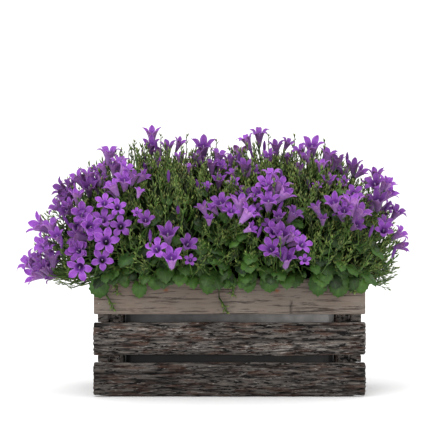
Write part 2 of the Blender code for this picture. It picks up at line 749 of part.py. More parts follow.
def build_crate(bark, sawn):
    side_length = 2 * (BACK_PLANE - GAP)
    walls = {
        "front": (CRATE_LENGTH, BOARD_THICKNESS, Vector((0, -BACK_PLANE, 0)), 0),
        "back": (CRATE_LENGTH, BOARD_THICKNESS, Vector((0, BACK_PLANE, 0)), math.pi),
        "left": (side_length, SIDE_THICKNESS, Vector((-SIDE_PLANE, 0, 0)), -math.pi / 2),
        "right": (side_length, SIDE_THICKNESS, Vector((SIDE_PLANE, 0, 0)), math.pi / 2),
    }
    for wall, (length, thickness, place, turn) in walls.items():
        for row, heights in ROWS.items():
            name = f"crate_{wall}_{row}"
            if row == "top":
                board = sawn_board(name, length - 1.5 * MM, heights, thickness, sawn)
            else:
                board = bark_slab(name, length, heights, thickness, wall + row, bark)
            board.location = place
            board.rotation_euler.z = turn
    for across in (-1, 1):
        for along in (-1, 1):
            build_post(across, along, bark)
    for i in range(-1, 2):
        width, thick = FLOOR_BOARD
        half = SIDE_PLANE - GAP
        shape = box_shape((-half, i * FLOOR_PITCH - width / 2, 0), (half, i * FLOOR_PITCH + width / 2, thick))
        add_object("crate_floor_" + ("front", "middle", "back")[i + 1], *shape, [sawn])


def build_post(across, along, skin):
    """A corner post, bark side out, standing on the floor boards."""
    name = "crate_post_" + ("left" if across < 0 else "right") + ("_front" if along < 0 else "_back")
    middle = Vector((
        across * (SIDE_PLANE - GAP - POST_SIDE / 2), along * (BACK_PLANE - GAP - POST_SIDE / 2), 0))
    rings = []
    for z in (FLOOR_BOARD[1] + GAP, CRATE_HEIGHT - 2 * MM):
        ring = []
        for k in range(8):
            turn = 2 * math.pi * (k + 0.5) / 8
            reach = 0.5 * POST_SIDE
            ring.append(middle + Vector((reach * math.cos(turn), reach * math.sin(turn), z)))
        rings.append(ring)
    add_object(name, *loft(rings), [skin])


def rounded_ring(half_x, half_y, corner, z):
    """A rectangle with round corners, at one height."""
    ring = []
    for quarter, (x, y) in enumerate(((1, 1), (-1, 1), (-1, -1), (1, -1))):
        for k in range(4):
            turn = math.pi / 2 * (quarter + k / 3)
            ring.append(Vector((
                x * (half_x - corner) + corner * math.cos(turn),
                y * (half_y - corner) + corner * math.sin(turn), z)))
    return ring


def build_liner(plastic):
    inner = [half - LINER_WALL for half in LINER_HALF]
    rings = [
        rounded_ring(*LINER_HALF, LINER_CORNER, LINER_LOW),
        rounded_ring(*LINER_HALF, LINER_CORNER, LINER_TOP),
        rounded_ring(*inner, LINER_CORNER - LINER_WALL, LINER_TOP),
        rounded_ring(*inner, LINER_CORNER - LINER_WALL, LINER_LOW + LINER_WALL),
    ]
    add_object("liner", *loft(rings), [plastic])


def build_soil(earth):
    """Soil with a slightly domed top and a plain hole for each crown stem."""
    inset = LINER_WALL + GAP
    half = [side - inset for side in LINER_HALF]
    corner = LINER_CORNER - inset
    rings = [
        rounded_ring(*half, corner, LINER_LOW + inset),
        rounded_ring(*half, corner, SOIL_EDGE),
        rounded_ring(half[0] - SOIL_SLOPE, half[1] - SOIL_SLOPE, SOIL_TOP_CORNER, SOIL_TOP),
    ]
    for ring in rings[1:]:
        for k, point in enumerate(ring):
            point.z += SOIL_UNEVEN * math.sin(2.3 * k)
    soil = add_object("soil", *loft(rings), [earth])
    shapes = []
    for middle in PLANTS.values():
        for x, y in CROWN_STEMS:
            ends = [Vector((middle + x, y, z)) for z in (HOLE_FLOOR, SOIL_TOP + 10 * MM)]
            shapes.append(tube(ends, [HOLE_RADIUS] * 2, 8))
    for i, shape in enumerate(shapes):
        cutter = add_object(f"hole_cutter_{i}", *shape, [earth])
        cutter.hide_render = True
        cutter.display_type = "WIRE"
        hole = soil.modifiers.new(f"hole_{i}", "BOOLEAN")
        hole.operation = "DIFFERENCE"
        hole.solver = "EXACT"
        hole.object = cutter


def build_plants(petal, green):
    cores, sprays, leaves = grow_plants()
    for spray in sprays:
        fuse(spray["node"], spray["shapes"], [petal, green])
    for side, middle in PLANTS.items():
        shapes = [(cores[side][0], 0)]
        for x, y in CROWN_STEMS:
            ends = [Vector((middle + x, y, z)) for z in (HOLE_FLOOR + GAP, 95 * MM)]
            shapes.append((tube(ends, [STEM_RADIUS] * 2, 6), 0))
        shapes += [(shape, 0) for shape in leaves[side]]
        fuse("plant_" + side, shapes, [green])


def build():
    clear_scene()
    bark = material("rough bark", (0.055, 0.042, 0.035), 0.9)
    sawn = material("weathered sawn wood", (0.22, 0.185, 0.155), 0.8)
    plastic = material("dark grey plastic", (0.05, 0.05, 0.052), 0.5)
    earth = material("potting soil", (0.03, 0.02, 0.014), 0.95)
    petal = material("violet petal", (0.31, 0.08, 0.58), 0.5)
    green = material("leaf green", (0.035, 0.1, 0.03), 0.5)
    build_crate(bark, sawn)
    build_liner(plastic)
    build_soil(earth)
    build_plants(petal, green)


build()
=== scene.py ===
"""Finishes for two flowering bellflower plants in a small crate of bark-edged slabs.

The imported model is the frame. Its boards, soil, leaves and flowering sprays get finer pieces in the
same places, and its plastic liner keeps its own solid.
"""

import math
import random

import bmesh
import bpy
from mathutils import Matrix, Vector, noise
from mathutils.bvhtree import BVHTree
from mathutils.kdtree import KDTree


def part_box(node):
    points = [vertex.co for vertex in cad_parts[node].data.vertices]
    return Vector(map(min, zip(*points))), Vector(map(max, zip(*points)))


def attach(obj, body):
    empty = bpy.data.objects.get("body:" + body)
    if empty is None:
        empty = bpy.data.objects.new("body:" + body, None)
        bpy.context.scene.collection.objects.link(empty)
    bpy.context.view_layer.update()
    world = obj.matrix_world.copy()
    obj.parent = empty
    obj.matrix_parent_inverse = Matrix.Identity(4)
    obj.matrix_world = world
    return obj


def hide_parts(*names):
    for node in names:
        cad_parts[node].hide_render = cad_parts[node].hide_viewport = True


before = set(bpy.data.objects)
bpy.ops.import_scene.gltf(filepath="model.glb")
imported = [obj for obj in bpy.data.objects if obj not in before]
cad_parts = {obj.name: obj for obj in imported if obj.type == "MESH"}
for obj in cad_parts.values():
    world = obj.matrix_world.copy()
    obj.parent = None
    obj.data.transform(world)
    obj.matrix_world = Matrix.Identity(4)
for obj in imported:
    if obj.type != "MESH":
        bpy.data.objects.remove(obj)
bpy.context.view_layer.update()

MM = 0.001
UP = Vector((0, 0, 1))
# What the plants' materials read at each corner: how far along and across its shape, and its own shade
PLANT_VALUES = ("along", "across", "tint")
# What the boards' materials read at each corner: how much painted shade falls in its crevices, and how pale
# or rusty it is
BOARD_VALUES = ("crevice_shade", "pale")

# The plants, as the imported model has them
PLANTS = {"left": -45.8 * MM, "right": 45.8 * MM}
REACH_LEFT = 129 * MM
REACH_RIGHT = 106 * MM
REACH_UP = 104 * MM
REACH_DOWN = 62 * MM
REACH_FRONT = 106 * MM
HEART_HEIGHT = 112 * MM
CORE_NECK = ((26 * MM, 87 * MM), (37 * MM, 92.5 * MM), (46 * MM, 99.5 * MM))
CORE_DOME = (
    (0.55, 104.5 * MM), (0.68, 110 * MM), (0.74, 118 * MM), (0.755, 128 * MM), (0.735, 139 * MM),
    (0.68, 151 * MM), (0.6, 162 * MM), (0.49, 173 * MM), (0.35, 182 * MM), (0.18, 189 * MM),
)
CORE_FRONT_DEPTH = 96 * MM
CORE_SIDES = 16
CORE_BUMP = 5 * MM
CORE_GAP = 0.3 * MM
# How much smaller the shaded heart is than the core, so that leaves and shoots hide it
HEART_SHARE = (0.97, 0.95, 0.98)
CROWN_STEMS = ((-11 * MM, -5 * MM), (9 * MM, 6 * MM))
STEM_FOOT = 70.3 * MM
STEM_HEAD = 95 * MM
STEM_RADIUS = 3.4 * MM
CRATE_FACE = 62.5 * MM
CRATE_SIDE = 112 * MM
RIM_HEIGHT = 98.1 * MM

# Which way a bloom looks: how much of its direction is to the right, and how much up
FACING = {
    "front": (0.05, 0.2), "front_left": (-0.35, 0.3), "front_right": (0.4, 0.3),
    "front_up": (0, 0.6), "front_low": (-0.1, -0.35), "up": (0, 0.93), "up_left": (-0.4, 0.82),
    "up_right": (0.38, 0.84), "left": (-0.88, 0.15), "right": (0.82, 0.35),
    "left_up": (-0.62, 0.68), "right_up": (0.6, 0.62), "left_low": (-0.82, -0.42),
}

# Sprays by the part of the mound that they fill. Each bloom: right of the plant's middle, height,
# where it looks and its span, in mm. A span of 0 is a bud in violet, and -1 a green bud spike.
SPRAYS = {
    "far_left_low": (
        (-124, 106, "left", 20), (-117, 95, "left_low", 18), (-115, 114, "left_up", 15),
        (-105, 120, "up_left", 14), (-99, 116, "up", 15), (-102, 107, "front_up", 14),
        (-102, 97, "left_low", 11), (-92, 93, "left", -1),
    ),
    "far_left_high": (
        (-113, 138, "left", 19), (-102, 141, "up_left", 16), (-98, 155, "left", 14),
        (-89, 145, "left_up", 0), (-91, 128, "up", 0), (-108, 126, "left_up", 12),
    ),
    "left_shoulder": (
        (-96, 170, "left", 16), (-87, 175, "up_left", 14), (-90, 164, "left", 15),
        (-80, 166, "up", 14), (-82, 180, "left_up", 15), (-71, 183, "up", 16),
        (-64, 187, "up", 13), (-60, 181, "up_right", 13), (-71, 172, "front_up", 16),
    ),
    "left_stars": (
        (-74, 152, "front", 17), (-67, 141, "front_right", 18), (-57, 147, "front_up", 16),
        (-79, 132, "left", 16), (-78, 121, "front_left", 17), (-76, 108, "front_low", 18),
    ),
    "middle_stars": (
        (-42, 142, "front", 17), (-54, 130, "front", 20), (-57, 115, "front", 17),
        (-45, 157, "front", 14), (-56, 161, "front_up", 15), (-34, 133, "up", -1),
    ),
    "crown_left": (
        (-55, 201, "up", 17), (-60, 189, "left_up", 9), (-46, 193, "up", 13),
        (-39, 187, "right_up", 14), (-40, 177, "front_up", 16), (-32, 181, "up_right", 12),
        (-24, 180, "right", 11), (-50, 172, "left_up", 13), (-27, 169, "up_right", 8),
        (-33, 206, "up", -1),
    ),
    "crown_top": (
        (-20, 219, "up", 17), (-16, 207, "up", 0), (-26, 200, "up_left", 0),
        (-25, 190, "front_up", 10), (-14, 195, "up", 9), (-6, 208, "up", 15),
        (4, 211, "up_right", 12), (4, 199, "up", 11), (10, 212, "up", -1),
        (-12, 212, "up", -1),
    ),
    "crown_right": (
        (24, 205, "front_up", 17), (18, 197, "left_up", 12), (13, 189, "up", 10),
        (31, 191, "up", 12), (38, 199, "up_right", 14), (46, 195, "up", 12),
        (54, 197, "up", 0), (37, 177, "front_up", 12), (49, 174, "front_left", 11),
        (19, 174, "up_left", 0), (27, 173, "front_up", 8), (35, 207, "up", -1),
    ),
    "shoulder_right": (
        (59, 191, "up", 15), (65, 186, "right_up", 12), (58, 168, "front_up", 14),
        (69, 178, "right_up", -1),
    ),
    "right_upper": (
        (80, 183, "up", 14), (75, 173, "front_left", 15), (88, 173, "right_up", 15),
        (91, 165, "right", 15), (77, 160, "front_up", 16), (87, 156, "right_up", 0),
    ),
    "right_low": (
        (38, 157, "front_left", 14), (47, 151, "front", 12), (54, 159, "up", 16),
        (62, 149, "right", 15), (23, 155, "left_up", 10), (29, 146, "front_up", 8),
    ),
    "right_edge": (
        (98, 151, "right_up", 15), (81, 136, "front", 15), (70, 137, "up_right", 0),
        (98, 133, "right", 14), (90, 119, "up_right", 0), (86, 127, "up", -1),
    ),
    "low_middle": (
        (-4, 134, "front_up", 16), (-13, 122, "front_left", 15), (-1, 115, "front_up", 16),
        (12, 126, "front_right", 13), (14, 114, "front", 8), (22, 124, "up", -1),
    ),
    "small_star": (
        (-22, 147, "front_up", 14), (-29, 153, "front_up", 8), (-18, 134, "up", 0),
        (-6, 152, "up", -1), (-14, 160, "up", -1),
    ),
    "middle_spikes": (
        (4, 170, "up", -1), (12, 162, "up_left", -1), (-4, 182, "up", 0),
        (-10, 174, "up", -1), (20, 166, "up", -1), (4, 155, "front_up", 0),
    ),
}
DEPTH_SHARE = {"crown_top": 0.35, "crown_right": 0.55, "shoulder_right": 0.6, "left_shoulder": 0.7}
REAR_SHARE = {"crown_left": 0.6}
DEPTH_SHIFTS = (0, 4, -4, 8, -8, 12, -12, 16)
# How much larger the real blooms of a spray are than its solid's
BLOOM_SWELL = {
    "far_left_low": 1.1, "far_left_high": 1.15, "left_stars": 1.12, "middle_stars": 1.02,
    "crown_left": 1.18, "crown_top": 1.02, "crown_right": 1.2, "right_upper": 1.2, "right_low": 1.28,
    "low_middle": 1.25,
}
# How much a spray's blooms are turned up from where their solids look
LIFT = {
    "right_low": 0.7, "right_upper": 0.5, "low_middle": 0.25, "right_edge": 0.3, "crown_right": 0.5,
    "crown_left": 0.45, "far_left_high": 0.4, "far_left_low": 0.5, "left_shoulder": 0.3,
}
# Sprays whose larger blooms have a second one beside them
CLUSTERS = (
    "far_left_low", "far_left_high", "left_shoulder", "crown_left", "crown_top", "crown_right",
    "shoulder_right", "right_upper", "right_low", "right_edge", "left_stars",
)
COMPANION_SPAN = 12.5 * MM
BUD_LENGTH = 12 * MM
BUD_SLIMNESS = 0.3
SPIKE_LENGTH = 9 * MM
# The shoots that stand for a spray's green spikes and that grow beside its longer stalks
SPIKE_SPRIG = 18 * MM
SPIKE_SUNK = 6 * MM
STALK_SPRIG = 11 * MM
LONG_STALK = 14 * MM
# How near a corner of the solid has to lie to a point, to show that a bloom or leaf is there
SAME_CORNER = 0.05 * MM
SAME_RIM_LEAF = 0.1 * MM
SAME_MOUND_LEAF = 1.5 * MM

# Radii of stems and stalks, from the root to the end
SPRAY_STEM = (1.3 * MM, 1.2 * MM, 0.9 * MM)
BLOOM_STALK = (0.8 * MM, 0.7 * MM, 0.6 * MM, 0.55 * MM, 0.6 * MM)
RIM_STALK = (1 * MM, 0.8 * MM, 0.6 * MM)
MOUND_STALK = (0.9 * MM, 0.7 * MM)
FILL_STALK = (0.7 * MM, 0.7 * MM, 0.7 * MM, 0.7 * MM)
SKIRT_STALK = (0.8 * MM, 0.7 * MM, 0.6 * MM)
SHOOT_STALK = (0.8 * MM, 0.7 * MM)
ARCH_STALK = (0.8 * MM, 0.7 * MM, 0.6 * MM, 0.6 * MM)
TWIG_STALK = (0.7 * MM, 0.6 * MM, 0.5 * MM)

# Leaves that hang over the rim: right of the left plant's middle, height of the middle, length, in mm
RIM_LEAVES = (
    (-62, 90, 18), (-40, 80, 14), (-28, 89, 15), (-14, 95, 14), (0, 87, 15), (12, 85, 17),
    (29, 94, 19), (38, 88, 14), (48, 80, 16), (62, 93, 14), (78, 94, 16), (91, 88, 14),
    (103, 86, 17), (119, 93, 20), (136, 90, 16), (153, 92, 14),
)
# How far a rim leaf stands off the crate, and where its stalk starts: how much of the way from the
# plant's middle, how far from the crate's middle, and how far above the rim
RIM_LEAF_OUT = 3.5 * MM
RIM_ROOT_SHARE = 0.72
RIM_ROOT_DEPTH = 38 * MM
RIM_ROOT_RISE = 7 * MM
LEAVES_PER_PLANT = 34
LEAF_SPAN = (14 * MM, 20 * MM)
# How far out of the core a leaf of the solid may start, the first that fits
LEAF_OUTS = (10.5 * MM, 4.5 * MM, -1.5 * MM)

# Foliage that fills each mound between the blooms: how much, how far out from the heart, and its lengths
TURN_STEP = 2.39996
FILL_LEAVES = 205
FILL_SHARE = (0.72, 0.88)
FILL_SPAN = (10 * MM, 17 * MM)
UNDER_LEAVES = 170
UNDER_SHARE = (0.68, 0.77)
UNDER_SPAN = (13 * MM, 19 * MM)
SKIRT_LEAVES = 15
SKIRT_SPAN = (8 * MM, 13 * MM)
FILL_SPRIGS = 1050
UNDER_SPRIGS = 440
ARCHES = 15
SPRIG_LENGTH = (17 * MM, 27 * MM)
# Twigs that hang over the front of the rim: the tip's place, in mm, and how far it points sideways
TWIGS = ((-94, 71, 0.55), (-1, 69, 0.6), (-92, 84, 0.2), (2, 83, -0.1), (103, 85, 0.3))
ARCH_SPRIG = 17 * MM
ARCH_OUT = {"left": (74 * MM, 92 * MM), "right": (74 * MM, 84 * MM)}
TWIG_LENGTH = 15 * MM
TWIG_WIDTH = 2.6

# The photograph's view
IMAGE_SIDE = 430
MM_PER_PIXEL = 0.8219
VIEW_MIDDLE = Vector((-12 * MM, -CRATE_FACE, 150.3 * MM))
VIEW_DISTANCE = 1600 * MM
VIEW_ELEVATION = math.radians(1)


# Materials

def linear(code):
    """An sRGB hex colour as linear numbers."""
    parts = [int(code[i:i + 2], 16) / 255 for i in (1, 3, 5)]
    return (*(part / 12.92 if part <= 0.04045 else ((part + 0.055) / 1.055) ** 2.4 for part in parts), 1)


def add(tree, kind, inputs=None, stops=(), out=0, **settings):
    """One shader node with its settings, each input a value or a link, and the output that is used."""
    node = tree.nodes.new("ShaderNode" + kind)
    for key, value in settings.items():
        setattr(node, key, value)
    for key, value in (inputs or {}).items():
        if isinstance(value, bpy.types.NodeSocket):
            tree.links.new(value, node.inputs[key])
        else:
            node.inputs[key].default_value = value
    for i, (place, code) in enumerate(stops):
        if i < 2:
            node.color_ramp.elements[i].position = place
        else:
            node.color_ramp.elements.new(place)
        node.color_ramp.elements[i].color = linear(code)
    return node.outputs[out]


def finish(name, **sockets):
    """A material and its tree, with the sockets of its surface that hold one value."""
    made = bpy.data.materials.new(name)
    made.use_nodes = True
    for key, value in sockets.items():
        made.node_tree.nodes["Principled BSDF"].inputs[key.replace("_", " ")].default_value = value
    return made, made.node_tree


def dress(made, colour, shade=None, relief=None, strength=0, depth=0):
    """Gives a material its colour, made lighter or darker by a shade, and a fine relief of a depth."""
    tree = made.node_tree
    shader = tree.nodes["Principled BSDF"]
    if shade is not None:
        colour = add(tree, "HueSaturation", {"Value": shade, "Color": colour})
    tree.links.new(colour, shader.inputs["Base Color"])
    if relief is not None:
        normal = add(tree, "Bump", {"Height": relief, "Strength": strength, "Distance": depth})
        tree.links.new(normal, shader.inputs["Normal"])
    return made


def patches(tree, size, detail, low, high):
    """A factor that wanders between two values, in patches of a size in mm."""
    place = add(tree, "TexCoord", out="Object")
    cells = add(tree, "TexNoise", {"Vector": place, "Scale": 1 / (size * MM), "Detail": detail})
    return add(tree, "MapRange", {"Value": cells, "From Min": 0.3, "From Max": 0.7,
                                  "To Min": low, "To Max": high})


def petal_finish(name, tube, throat, tip, vein):
    """Living petal tissue: soft and satin, paler down the tube and at the rim, with lengthwise veins."""
    made, tree = finish(name, Roughness=0.55, Specular_IOR_Level=0.2, Sheen_Weight=0.05,
                        Subsurface_Weight=0.05, Subsurface_Scale=1.2 * MM)
    along, across, tint = (add(tree, "Attribute", out="Fac", attribute_name=name) for name in PLANT_VALUES)
    length = add(tree, "ValToRGB", {"Fac": along}, ((0, tube), (0.45, throat), (1, tip)))
    lines = add(tree, "Math", {0: across, 1: 15.7}, operation="MULTIPLY")
    wave = add(tree, "Math", {0: lines}, operation="COSINE")
    veins = add(tree, "MapRange", {"Value": wave, "From Min": 0.55, "To Max": 0.45})
    veined = add(tree, "MixRGB", {"Fac": veins, "Color1": length, "Color2": linear(vein)})
    off = add(tree, "Math", {0: across}, operation="ABSOLUTE")
    rim = add(tree, "MapRange", {"Value": off, "From Min": 0.55, "To Max": 0.4})
    rimmed = add(tree, "MixRGB", {"Fac": rim, "Color1": veined, "Color2": linear("#BE84DA")})
    mottled = patches(tree, 2.4, 2, 0.86, 1.12)
    shade = add(tree, "MapRange", {"Value": tint, "To Min": 0.46, "To Max": 1.14})
    both = add(tree, "Math", {0: mottled, 1: shade}, operation="MULTIPLY")
    return dress(made, rimmed, both, veins, 0.4, 0.3 * MM)


def leaf_finish():
    """Leaf blade: a waxy skin with a weak gloss, and veins that spread from the leaf stalk."""
    made, tree = finish("bellflower leaf, waxy", Roughness=0.5, Specular_IOR_Level=0.28,
                        Subsurface_Weight=0.08, Subsurface_Scale=1 * MM)
    along, across, tint = (add(tree, "Attribute", out="Fac", attribute_name=name) for name in PLANT_VALUES)
    colour = add(tree, "ValToRGB", {"Fac": tint}, ((0, "#172710"), (0.5, "#3E6022"), (1, "#2C4A1D")))
    turn = add(tree, "Math", {0: across, 1: along}, operation="ARCTAN2")
    lines = add(tree, "Math", {0: turn, 1: 9}, operation="MULTIPLY")
    wave = add(tree, "Math", {0: lines}, operation="COSINE")
    veins = add(tree, "MapRange", {"Value": wave, "From Min": 0.86, "To Max": 0.17})
    veined = add(tree, "MixRGB", {"Fac": veins, "Color1": colour, "Color2": linear("#5A7E3E")})
    return dress(made, veined, patches(tree, 4, 3, 0.72, 1.25), veins, 0.5, 0.35 * MM)


def shoot_finish():
    """Young shoots, calyces and stalks, yellow-green and slightly downy, and the blooms' pale styles."""
    made, tree = finish("young shoot, downy green", Roughness=0.6, Subsurface_Weight=0.08,
                        Subsurface_Scale=0.8 * MM)
    along, across, tint = (add(tree, "Attribute", out="Fac", attribute_name=name) for name in PLANT_VALUES)
    colour = add(tree, "ValToRGB", {"Fac": tint},
                 ((0, "#162809"), (0.4, "#49641D"), (0.75, "#395419"), (1, "#466C1F")))
    tipped = add(tree, "Math", {0: along, 1: 2.2}, operation="POWER")
    young = add(tree, "MixRGB", {"Fac": tipped, "Color1": colour, "Color2": linear("#A2AB58")})
    paler = add(tree, "MixRGB", {"Fac": across, "Color1": young, "Color2": linear("#8F78A0")})
    return dress(made, paler, patches(tree, 2, 2, 0.75, 1.2))


def bark_finish():
    """Pine bark, split and weathered: matt strands, red streaks and pale, dry flecks, with fissures and
    crevices painted near black as shade, and darker towards the bottom.
    """
    made, tree = finish("weathered bark, split", Roughness=0.9, Specular_IOR_Level=0.2)
    run = add(tree, "Attribute", out="Vector", attribute_name="run")
    crevice_shade, pale = (add(tree, "Attribute", out="Fac", attribute_name=name) for name in BOARD_VALUES)
    fibres = add(tree, "Mapping", {"Vector": run, "Scale": (0.22, 1, 1)})
    strands = add(tree, "TexNoise", {"Vector": fibres, "Scale": 1 / (2 * MM), "Detail": 3, "Roughness": 0.62})
    flecks = add(tree, "TexNoise", {"Vector": fibres, "Scale": 1 / (1.1 * MM), "Detail": 3, "Roughness": 0.8})
    streaks = add(tree, "TexNoise", {"Vector": fibres, "Scale": 1 / (4.5 * MM), "Detail": 3})
    plate = add(tree, "ValToRGB", {"Fac": strands},
                ((0.42, "#0B0807"), (0.475, "#67625E"), (0.53, "#55504C"), (0.6, "#6B635D")))
    red = add(tree, "ValToRGB", {"Fac": streaks}, ((0.5, "#000000"), (0.6, "#D0D0D0")))
    rusty = add(tree, "MixRGB", {"Fac": red, "Color1": plate, "Color2": linear("#4A2F22")})
    sparse = add(tree, "MapRange", {"Value": pale, "To Min": 0.58, "To Max": 0.42})
    bright = add(tree, "MapRange", {"Value": flecks, "From Min": sparse, "From Max": 0.7, "To Max": 0.9})
    dry = add(tree, "MixRGB", {"Fac": bright, "Color1": rusty, "Color2": linear("#A8A29C")})
    split = add(tree, "Mapping", {"Vector": run, "Scale": (0.09, 1, 1)})
    plates = add(tree, "TexNoise", {"Vector": split, "Scale": 1 / (4.2 * MM), "Detail": 3})
    level = add(tree, "Math", {0: plates, 1: 0.5}, operation="SUBTRACT")
    off = add(tree, "Math", {0: level}, operation="ABSOLUTE")
    # Painted shade: colour-only fissure lines and the relief's crevices, painted near black
    crack = add(tree, "MapRange", {"Value": off, "From Max": 0.034, "To Min": 1, "To Max": 0})
    gap = add(tree, "Math", {0: crack, 1: crevice_shade}, operation="MAXIMUM")
    deep = add(tree, "MixRGB", {"Fac": gap, "Color1": dry, "Color2": linear("#070505")})
    place = add(tree, "TexCoord", out="Object")
    height = add(tree, "SeparateXYZ", {"Vector": place}, out="Z")
    # Darker towards the bottom of the boards
    darker_low = add(tree, "MapRange", {"Value": height, "From Min": 24 * MM, "From Max": 40 * MM,
                                  "To Min": 0.66, "To Max": 0.94})
    return dress(made, deep, darker_low, strands, 0.9, 0.7 * MM)


def sawn_finish():
    """Unpainted softwood, sawn and left out: silvery brown, with the grain raised, rust at the nails, and
    painted shade in its grain lines and its split.
    """
    made, tree = finish("weathered softwood, sawn", Roughness=0.82, Specular_IOR_Level=0.25)
    run = add(tree, "Attribute", out="Vector", attribute_name="run")
    crevice_shade, rust = (add(tree, "Attribute", out="Fac", attribute_name=name) for name in BOARD_VALUES)
    fibres = add(tree, "Mapping", {"Vector": run, "Scale": (0.06, 1, 1)})
    grain = add(tree, "TexNoise", {"Vector": fibres, "Scale": 1 / (2 * MM), "Detail": 5, "Roughness": 0.72})
    stain = add(tree, "TexNoise", {"Vector": run, "Scale": 1 / (26 * MM), "Detail": 3})
    wood = add(tree, "ValToRGB", {"Fac": grain}, ((0.39, "#372F2A"), (0.49, "#776D65"), (0.61, "#6E645A")))
    cloud = add(tree, "ValToRGB", {"Fac": stain}, ((0.42, "#000000"), (0.7, "#8C8C8C")))
    stained = add(tree, "MixRGB", {"Fac": cloud, "Color1": wood, "Color2": linear("#6E5747")})
    rusty = add(tree, "MixRGB", {"Fac": rust, "Color1": stained, "Color2": linear("#7A4524")})
    # Painted shade in the grain lines and the split
    deep = add(tree, "MixRGB", {"Fac": crevice_shade, "Color1": rusty, "Color2": linear("#1D1613")})
    return dress(made, deep, None, grain, 0.5, 0.35 * MM)


def liner_finish():
    """Recycled polypropylene, moulded: dull grey and scuffed, with painted shade that darkens it towards one
    end and at its foot.
    """
    made, tree = finish("polypropylene, moulded, with painted shade", Roughness=0.6, Specular_IOR_Level=0.2)
    place = add(tree, "TexCoord", out="Object")
    level = add(tree, "SeparateXYZ", {"Vector": place}, out="X")
    height = add(tree, "SeparateXYZ", {"Vector": place}, out="Z")
    # Painted shade: darker towards the left end
    painted_end_shade = add(tree, "MapRange", {"Value": level, "From Min": -90 * MM, "From Max": 90 * MM})
    colour = add(tree, "ValToRGB", {"Fac": painted_end_shade},
                 ((0, "#1E1E1F"), (0.16, "#424141"), (0.32, "#3F3E3E"), (1, "#7A7876")))
    scuff = add(tree, "TexNoise", {"Vector": place, "Scale": 1 / (8 * MM), "Detail": 4})
    mottled = add(tree, "MapRange", {"Value": scuff, "From Min": 0.3, "From Max": 0.7,
                                     "To Min": 0.78, "To Max": 1.2})
    # Painted shade: much darker towards the foot
    darker_low = add(tree, "MapRange", {"Value": height, "From Min": 34 * MM, "From Max": 62 * MM,
                                  "To Min": 0.12, "To Max": 1.42})
    both = add(tree, "Math", {0: mottled, 1: darker_low}, operation="MULTIPLY")
    return dress(made, colour, both, scuff, 0.2, 0.2 * MM)


def grainy_finish(name, size, detail, stops, depth=0, **sockets):
    """A surface whose colour changes from grain to grain of a size in mm, and its relief with it."""
    made, tree = finish(name, **sockets)
    place = add(tree, "TexCoord", out="Object")
    grains = add(tree, "TexNoise", {"Vector": place, "Scale": 1 / (size * MM), "Detail": detail})
    colour = add(tree, "ValToRGB", {"Fac": grains}, stops)
    return dress(made, colour, None, grains if depth else None, 1, depth)


# Making and placing pieces

def mesh_of(name, form):
    """The mesh of a bmesh that isn't needed any more."""
    mesh = bpy.data.meshes.new(name)
    form.to_mesh(mesh)
    form.free()
    return mesh


def linked(name, data):
    """A new object of the scene, at the origin."""
    made = bpy.data.objects.new(name, data)
    bpy.context.scene.collection.objects.link(made)
    return made


def show(name, mesh, replaced=()):
    """A finished object of the plant or crate from its mesh, riding on the frame."""
    made = linked(name, mesh)
    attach(made, "root")
    if replaced:
        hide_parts(*replaced)


def piece(name, form, materials, replaced=()):
    """A finished object from a bmesh."""
    mesh = mesh_of(name, form)
    for each in materials:
        mesh.materials.append(each)
    show(name, mesh, replaced)


def new_form():
    """An empty bmesh with the values that the plants' materials read."""
    form = bmesh.new()
    for name in PLANT_VALUES:
        form.verts.layers.float.new(name)
    return form


def template(form):
    """A shape that is copied into pieces: smooth, closed, facing outwards."""
    bmesh.ops.recalc_face_normals(form, faces=form.faces)
    for face in form.faces:
        face.smooth = True
    return mesh_of("template", form)


def put(form, shape, matrix, tint=None):
    """One copy of a template at its place, with its own shade."""
    copied = shape.copy()
    copied.transform(matrix)
    if tint is not None:
        copied.attributes["tint"].data.foreach_set("value", [tint] * len(copied.vertices))
    form.from_mesh(copied)
    bpy.data.meshes.remove(copied)


def frame_along(direction):
    """Two unit vectors square to a direction."""
    side = direction.cross(UP if abs(direction.z) < 0.9 else Vector((0, 1, 0))).normalized()
    return side, direction.cross(side).normalized()


def placing(origin, across, along, normal, size):
    """The matrix that sets a template of size 1 at its place."""
    turned = Matrix([vector.normalized() * size for vector in (across, along, normal)]).transposed()
    return Matrix.Translation(origin) @ turned.to_4x4()


def facing_way(origin, way, size, spin=0):
    """The matrix for a template that stands along +Z, turned to look one way."""
    side, other = frame_along(way)
    return placing(origin, side, other, way, size) @ Matrix.Rotation(spin, 4, "Z")


def grown_row(form, edges):
    """A new row of faces along some edges: its outer edges, and their corners."""
    grown = bmesh.ops.extrude_edge_only(form, edges=edges)["geom"]
    row = [each for each in grown if isinstance(each, bmesh.types.BMEdge)]
    return row, {corner for edge in row for corner in edge.verts}


def grown_cap(form, cap):
    """The end face of a form after one more step."""
    grown = bmesh.ops.extrude_face_region(form, geom=[cap])["geom"]
    return next(each for each in grown if isinstance(each, bmesh.types.BMFace))


def sweep(form, path, radii, sides, tint=0.5):
    """A stem: one round cap, extruded from point to point of a path."""
    stem = new_form()
    made = bmesh.ops.create_circle(stem, segments=sides, radius=1, cap_ends=True)["verts"]
    cap = made[0].link_faces[0]
    previous = Matrix.Identity(4)
    last = len(path) - 1
    for i, point in enumerate(path):
        if i:
            cap = grown_cap(stem, cap)
        heading = (path[min(i + 1, last)] - path[max(i - 1, 0)]).normalized()
        current = facing_way(point, heading, radii[i])
        bmesh.ops.transform(stem, matrix=current @ previous.inverted(), verts=list(cap.verts))
        previous = current
    shape = template(stem)
    put(form, shape, Matrix.Identity(4), tint)
    bpy.data.meshes.remove(shape)


def bent(start, end, lift, steps=4):
    """Points from start to end on an arc that is pushed off its straight line."""
    return [start.lerp(end, i / steps) + lift * math.sin(math.pi * i / steps) for i in range(steps + 1)]


# Templates

